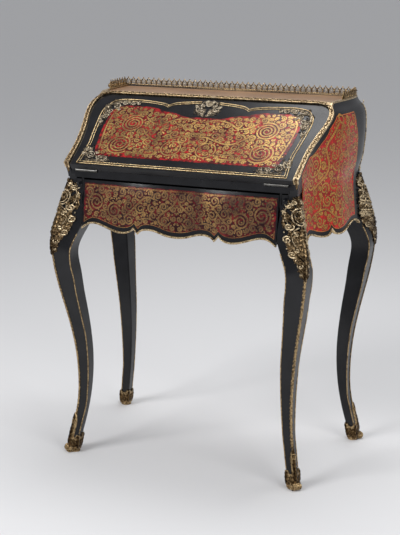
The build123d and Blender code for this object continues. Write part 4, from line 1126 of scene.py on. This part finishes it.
# Middle of the gilt band, in the fall's plane: up the S-shaped side, round the corner and along the top.
BAND_LINE = [
    (0.299, 0.01), (0.2989, 0.03), (0.2995, 0.06), (0.3012, 0.085), (0.305, 0.117), (0.3105, 0.148),
    (0.317, 0.178), (0.3208, 0.203), (0.3208, 0.22), (0.318, 0.236), (0.312, 0.247), (0.303, 0.2565),
    (0.291, 0.2635), (0.276, 0.268), (0.25, 0.2695), (0.15, 0.2695), (0.002, 0.2695),
]
BAND_LEAF_PITCH = 0.0084
chain = Shape()
path = curve(BAND_LINE)
for offset in (-0.0044, 0.0044):
    edge = []
    for a, b in zip(path[::3], path[3::3]):
        t = (b - a) / np.linalg.norm(b - a)
        edge.append(on_band(a[0] - t[1] * offset, a[1] + t[0] * offset, 0.0001))
    tube(chain, edge, 0.0008, 5)
turn = 1
for a, b in stations(path, 0.004, BAND_LEAF_PITCH):
    along = (b - a) / np.linalg.norm(b - a)
    across = np.array([-along[1], along[0]])

    def place(s, t, lift, origin=a, along=along, across=across):
        return on_band(*(origin + along * s + across * t), lift)

    line = curve([(-0.0046, -0.003 * turn), (0, 0.0006 * turn), (0.005, 0.0032 * turn)])
    leaf(chain, line, 0.0026, place, 0.0001, 0.0018, 2)
    bead(chain, place(0.004, -0.0024 * turn, 0.0006), 0.0013, 0.8)
    turn = -turn
tip = curve([(0.2988, 0.764), (0.2985, 0.75), (0.2975, 0.735)])
leaf(chain, tip, 0.005, on_chin, 0.0001, 0.0022, 1, 0.75)
for side, move in SIDES.items():
    piece(f"band_leaves_{side}", chain.moved(*move), GILT_STRIP)


# ---- beads along the aprons and down the legs
def pearls(shape, path, radius, pitch=PEARL_PITCH):
    gone = 0.0
    next_at = 0.0
    for a, b in zip(path, path[1:]):
        step = (b - a).length
        while gone + step >= next_at:
            bead(shape, a.lerp(b, (next_at - gone) / max(step, 1e-9)), radius)
            next_at += pitch
        gone += step


DRAWER_BEAD_TREE = tree_of("drawer_bead")
SIDE_BEAD_TREE = tree_of("side_apron_beads")
BEAD_DROP = 0.0022      # middle of a bead below the edge it hangs on
BEAD_SINK = 0.0003


def drawer_bead_point(x):
    z = drawer_edge(x) - BEAD_DROP
    place = strike(DRAWER_BEAD_TREE, (x, -0.4, z), (0, 1, 0)) or on_drawer.hit(x, z + 0.004)[0]
    return Vector((x, place.y - BEAD_SINK, z))


def side_bead_point(y):
    z = side_low_edge(y) - BEAD_DROP
    place = strike(SIDE_BEAD_TREE, (0.5, y, z), (-1, 0, 0)) or on_side.hit(y, z + 0.004)[0]
    return Vector((place.x + BEAD_SINK, y, z))


shape = Shape()
pearls(shape, [drawer_bead_point(x) for x in spread(-0.2535, 0.2535, 260)], 0.0019)
piece("drawer_pearls", shape, GILT, "drawer")

shape = Shape()
pearls(shape, [side_bead_point(y) for y in spread(-0.1475, 0.1475, 160)], 0.0019)
for side, move in SIDES.items():
    piece(f"side_pearls_{side}", shape.moved(*move), GILT)

REAR_EDGE_FOOT = 0.734
shape = Shape()
rear_edge = [Vector((on_side.hit(0.1845, z)[0].x + 0.0002, 0.1855, z))
             for z in spread(REAR_EDGE_FOOT, CASE_TOP - 0.008, 40)]
tube(shape, rear_edge, 0.0011)
pearls(shape, rear_edge, 0.0016)
for drop, radius in ((0.004, 0.0034), (0.01, 0.0026), (-0.002, 0.0024)):
    ball(shape, rear_edge[0] - UP * drop, radius)
for side, move in SIDES.items():
    piece(f"rear_edge_pearls_{side}", shape.moved(*move), GILT)


def leg_corner(toward, z):
    """The leg's corner that points toward, at height z."""
    across = Vector((-toward.y, toward.x, 0))
    starts = (FOOT + toward * 0.15 + across * 0.002 * k + UP * z for k in range(-30, 31))
    found = [place for place in (strike(LEG_TREE, start, -toward) for start in starts) if place]
    return max(found, key=toward.dot, default=None)


def leg_line(toward, low_z, high_z, outset):
    found = [leg_corner(toward, z) for z in spread(low_z, high_z, 70)]
    line = [tuple(p + toward * outset) for p in found if p]
    return [Vector(p) for p in curve(line[::5] + [line[-1]], 0.003)]


edges = Shape()
for toward, top in ((-SIDEWAYS, 0.584), (SIDEWAYS, 0.586)):
    edge = leg_line(toward, 0.05, top, 0.0004)
    tube(edges, edge, 0.0014)
    pearls(edges, edge, 0.0019, 0.0044)
for corner, move in CORNERS.items():
    piece(f"{corner}_leg_beads", edges.moved(*move), GILT_DARK)

HUSK_PITCH = 0.01
ridge = leg_line(OUTWARD, 0.102, 0.528, 0.0)
husks = Shape()
tube(husks, ridge, 0.0024)
for a, b in stations(ridge, 0.004, HUSK_PITCH):
    along = (b - a).normalized()
    out = SIDEWAYS.cross(along)
    if out.dot(OUTWARD) < 0:
        out = -out

    def place(s, t, lift, origin=a, along=along, out=out):
        return origin + along * s + SIDEWAYS * t + out * (lift - abs(t) * 0.55)

    for tilt in (-1, 1):
        line = curve([(0.0055, 0), (0, 0.0024 * tilt), (-0.005, 0.0042 * tilt)])
        leaf(husks, line, 0.0022, place, 0.0012, 0.0018, 1)
    bead(husks, place(0.0056, 0, 0.0016), 0.0013)
for corner, move in CORNERS.items():
    replaced = "leg_ridge_strips" if corner == "front_right" else None
    piece(f"{corner}_leg_husks", husks.moved(*move), GILT_DARK, replaces=replaced)


# ---- knee mounts
# Right half of the knee mount: points are sideways from the leg's ridge, then height. Fronds end in half
# width and number of lobes; scrolls in radius, first angle, turns, lift and bar; berries in a radius.
# The outline gives a height first, then the half width there.
KNEE_OUTLINE = [
    (0.536, 0.004), (0.56, 0.012), (0.59, 0.022), (0.62, 0.028), (0.648, 0.029), (0.664, 0.022),
    (0.684, 0.026), (0.7, 0.018), (0.714, 0.006),
]
KNEE_FRONDS = [
    ([(0.012, 0.69), (0.021, 0.699), (0.018, 0.711)], 0.0055, 3),
    ([(0.016, 0.66), (0.027, 0.67), (0.026, 0.69)], 0.006, 4),
    ([(0.02, 0.644), (0.03, 0.652), (0.03, 0.668)], 0.005, 3),
    ([(0.004, 0.594), (0.013, 0.622), (0.024, 0.646)], 0.009, 5),
    ([(0.007, 0.584), (0.021, 0.604), (0.031, 0.628)], 0.0088, 5),
    ([(0.006, 0.572), (0.018, 0.584), (0.028, 0.604)], 0.0078, 4),
    ([(0.003, 0.562), (0.012, 0.571), (0.02, 0.586)], 0.0062, 3),
    ([(0.002, 0.548), (0.01, 0.56), (0.014, 0.574)], 0.0052, 3),
    ([(0.001, 0.532), (0.007, 0.544), (0.01, 0.558)], 0.0042, 3),
]
KNEE_SCROLLS = [
    ((0.007, 0.704), 0.006, -1.2, 1.3, 0.0036, 0.0018), ((0.018, 0.696), 0.0066, 2.4, -1.3, 0.004, 0.0019),
    ((0.0215, 0.65), 0.009, 2.6, 1.4, 0.0046, 0.0022), ((0.0265, 0.62), 0.0085, 2.2, -1.4, 0.0042, 0.0021),
    ((0.021, 0.588), 0.0076, -2.4, 1.4, 0.004, 0.0019), ((0.011, 0.633), 0.0052, 0.6, 1.2, 0.005, 0.0016),
    ((0.012, 0.599), 0.0052, 0.4, -1.2, 0.005, 0.0016), ((0.0105, 0.564), 0.006, 2.5, 1.3, 0.0036, 0.0017),
    ((0.007, 0.544), 0.0042, 2.2, -1.2, 0.0032, 0.0014), ((0.0285, 0.68), 0.005, 0.8, 1.2, 0.003, 0.0016),
]
KNEE_BERRIES = [
    (0.0, 0.712, 0.0022), (0.024, 0.704, 0.0024), (0.0295, 0.662, 0.0024), (0.0305, 0.637, 0.0024),
    (0.029, 0.6, 0.0024), (0.016, 0.576, 0.0022), (0.0, 0.556, 0.0024), (0.0, 0.533, 0.002),
    (0.0, 0.6735, 0.0034),
]
KNEE_ARMS = [[(0.01, 0.699), (0.023, 0.692), (0.0275, 0.672), (0.021, 0.652)],
             [(0.004, 0.65), (0.014, 0.64), (0.018, 0.622), (0.012, 0.604)]]


def within_knee(chance):
    z = chance.uniform(KNEE_OUTLINE[0][0], KNEE_OUTLINE[-1][0])
    wide = float(np.interp(z, [p[0] for p in KNEE_OUTLINE], [p[1] for p in KNEE_OUTLINE]))
    return chance.uniform(0, wide), z


def upright(low_z, high_z, step=0.003):
    """Path up the middle of a face."""
    return curve([(0, low_z), (0, (low_z + high_z) / 2), (0, high_z)], step)


def knee_mount():
    """Bud, oval frame round a boss, acanthus, and fronds, scrolls, arms and berries beside them."""
    shape = Shape()
    leaf(shape, curve([(0, 0.694), (0, 0.707), (0, 0.7175)], 0.003), 0.008, on_leg, 0.001, 0.0052, 2)
    for wide, tall, lift, bar in ((0.015, 0.0185, 0.004, 0.0019), (0.0095, 0.0125, 0.0035, 0.0011)):
        tube(shape, laid(oval(0, 0.6735, wide, tall, 40), on_leg, lift), bar, 7)
    leaf(shape, upright(0.661, 0.686, 0.002), 0.008, on_leg, 0.0005, 0.0052, 1)
    leaf(shape, upright(0.576, 0.652), 0.0125, on_leg, 0.0015, 0.006, 7)
    leaf(shape, upright(0.538, 0.58), 0.0085, on_leg, 0.0015, 0.0048, 5)
    leaf(shape, upright(0.527, 0.546), 0.0055, on_leg, 0.0015, 0.004, 2)
    for points, width, lobes in KNEE_FRONDS:
        for side in HALVES:
            leaf(shape, curve(turned(points, side), 0.003), width, on_leg, 0.001, 0.005, lobes)
    for centre, radius, first, turns, lift, bar in KNEE_SCROLLS:
        for side in HALVES:
            volute(shape, side, centre, radius, first, turns, on_leg, lift, bar, 0.2, 0.002, 1.15, 0.5, 1.5)
    for arm in KNEE_ARMS:
        for side in HALVES:
            tube(shape, laid(curve(arm, 0.003), on_leg, 0.004, side), 0.0016)
    filigree(shape, 9, 190, within_knee, on_leg, 0.004, 0.0052)
    for s, z, radius in KNEE_BERRIES:
        for side in HALVES:
            bead(shape, on_leg(s * side, z, 0.004), radius)
    return shape


mount = knee_mount()
for corner, move in CORNERS.items():
    where, side = corner.split("_")
    piece(f"{corner}_knee_casting", mount.moved(*move), GILT, replaces=f"{where}_knee_mount_{side}")


# ---- shoes
SHOE_TREE = tree_of("front_shoe_right")
BOSS_Z = 0.082


def shoe_face(angle):
    """The shoe seen from outside, at an angle round the foot from its outward ridge."""
    out = OUTWARD * cos(angle) + SIDEWAYS * sin(angle)
    across = Vector((-out.y, out.x, 0))
    return Cast(SHOE_TREE, lambda s, z: FOOT - OUTWARD * 0.003 + across * s + out * 0.06 + UP * z, -out, 0.6)


shoe = Shape()
for k in range(1, 8):
    tall = 0.05 if k % 2 == 0 else 0.036
    leaf(shoe, curve([(0, 0.01), (0, 0.026), (0, tall)], 0.003), 0.007, shoe_face(k * pi / 4),
         0.0002, 0.0026, 4)
ridge_face = shoe_face(0)
for low_z, high_z, width in ((0.022, 0.06, 0.0085), (0.044, BOSS_Z, 0.0068), (0.078, 0.103, 0.0052)):
    leaf(shoe, upright(low_z, high_z), width, ridge_face, 0.0004, 0.003, 4)
tube(shoe, laid(oval(0, BOSS_Z, 0.0048, 0.0055, 20), ridge_face, 0.0016), 0.0014)
ball(shoe, ridge_face(0, BOSS_Z, 0.0012), 0.0026)
TOE = FOOT + OUTWARD * 0.016 + UP * 0.0095
for side in (-1, 1):
    centre = TOE + SIDEWAYS * 0.0122 * side
    toe_curl = spiral((0, 0), 0.008, 0.002, 1.6, 1.9, 0.0016)
    tube(shoe, [centre + OUTWARD * x + UP * z for x, z in toe_curl], 0.0013)
    ball(shoe, centre, 0.0024)
for k in (-2, -1, 0, 1, 2):
    rib = [TOE + SIDEWAYS * 0.0042 * k + (OUTWARD * sin(a) + UP * cos(a)) * 0.0092
           for a in spread(0.2, 2.3, 12)]
    tube(shoe, rib, 0.0011)
for corner, move in CORNERS.items():
    piece(f"{corner}_shoe_leaves", shoe.moved(*move), GILT_DARK)


# ---- floor, light and camera
FLOOR_REACH = 60
corners = [(x * FLOOR_REACH, y * FLOOR_REACH, 0) for x, y in ((-1, -1), (1, -1), (1, 1), (-1, 1))]
floor_look = material("floor_pale", (0.72, 0.72, 0.73), 0.8, specular=0.1)
new_object("floor", new_mesh("floor", corners, [(0, 1, 2, 3)], floor_look))


def aim(obj, place, direction):
    obj.location = place
    obj.rotation_euler = Vector(direction).to_track_quat("-Z", "Y").to_euler()


def lamp(name, place, target, size, power):
    data = bpy.data.lights.new(name, "AREA")
    data.shape = "RECTANGLE"
    data.size = size
    data.size_y = size * 0.7
    data.energy = power
    aim(new_object(name, data), place, Vector(target) - Vector(place))


lamp("key", (-1.6, -2.4, 2.9), (0, 0, 0.6), 1.4, 62)
lamp("fill", (2.6, -1.6, 1.9), (0, 0, 0.6), 1.8, 34)
lamp("top", (0.2, 0.6, 3.0), (0, 0, 0.7), 1.6, 30)

# The world lights the desk, and shows a darker backdrop to the camera and in reflections.
world = bpy.data.worlds.new("studio")
bpy.context.scene.world = world
world.use_nodes = True
link = world.node_tree.links.new
background = world.node_tree.nodes["Background"]
set_inputs(background, {"Color": (0.8, 0.81, 0.83, 1), "Strength": 0.6})
backdrop = new_node(world, "Background", Color=(0.36, 0.365, 0.378, 1))
rays = new_node(world, "LightPath").outputs
seen = new_node(world, "MixShader")
shown = rays["Is Camera Ray"]
for kind in ("Is Glossy Ray", "Is Transmission Ray"):
    either = new_node(world, "Math")
    either.operation = "MAXIMUM"
    link(shown, either.inputs[0])
    link(rays[kind], either.inputs[1])
    shown = either.outputs[0]
link(shown, seen.inputs["Fac"])
link(background.outputs["Background"], seen.inputs[1])
link(backdrop.outputs["Background"], seen.inputs[2])
link(seen.outputs["Shader"], world.node_tree.nodes["World Output"].inputs["Surface"])

camera = bpy.data.cameras.new("camera")
camera.lens = 88.08
camera.sensor_width = 36
camera.clip_end = 200
eye = new_object("camera", camera)
aim(eye, (1.2788, -2.9814, 1.295), (-0.3889, 0.8884, -0.2441))
bpy.context.scene.camera = eye
bpy.context.scene.view_settings.view_transform = "Standard"
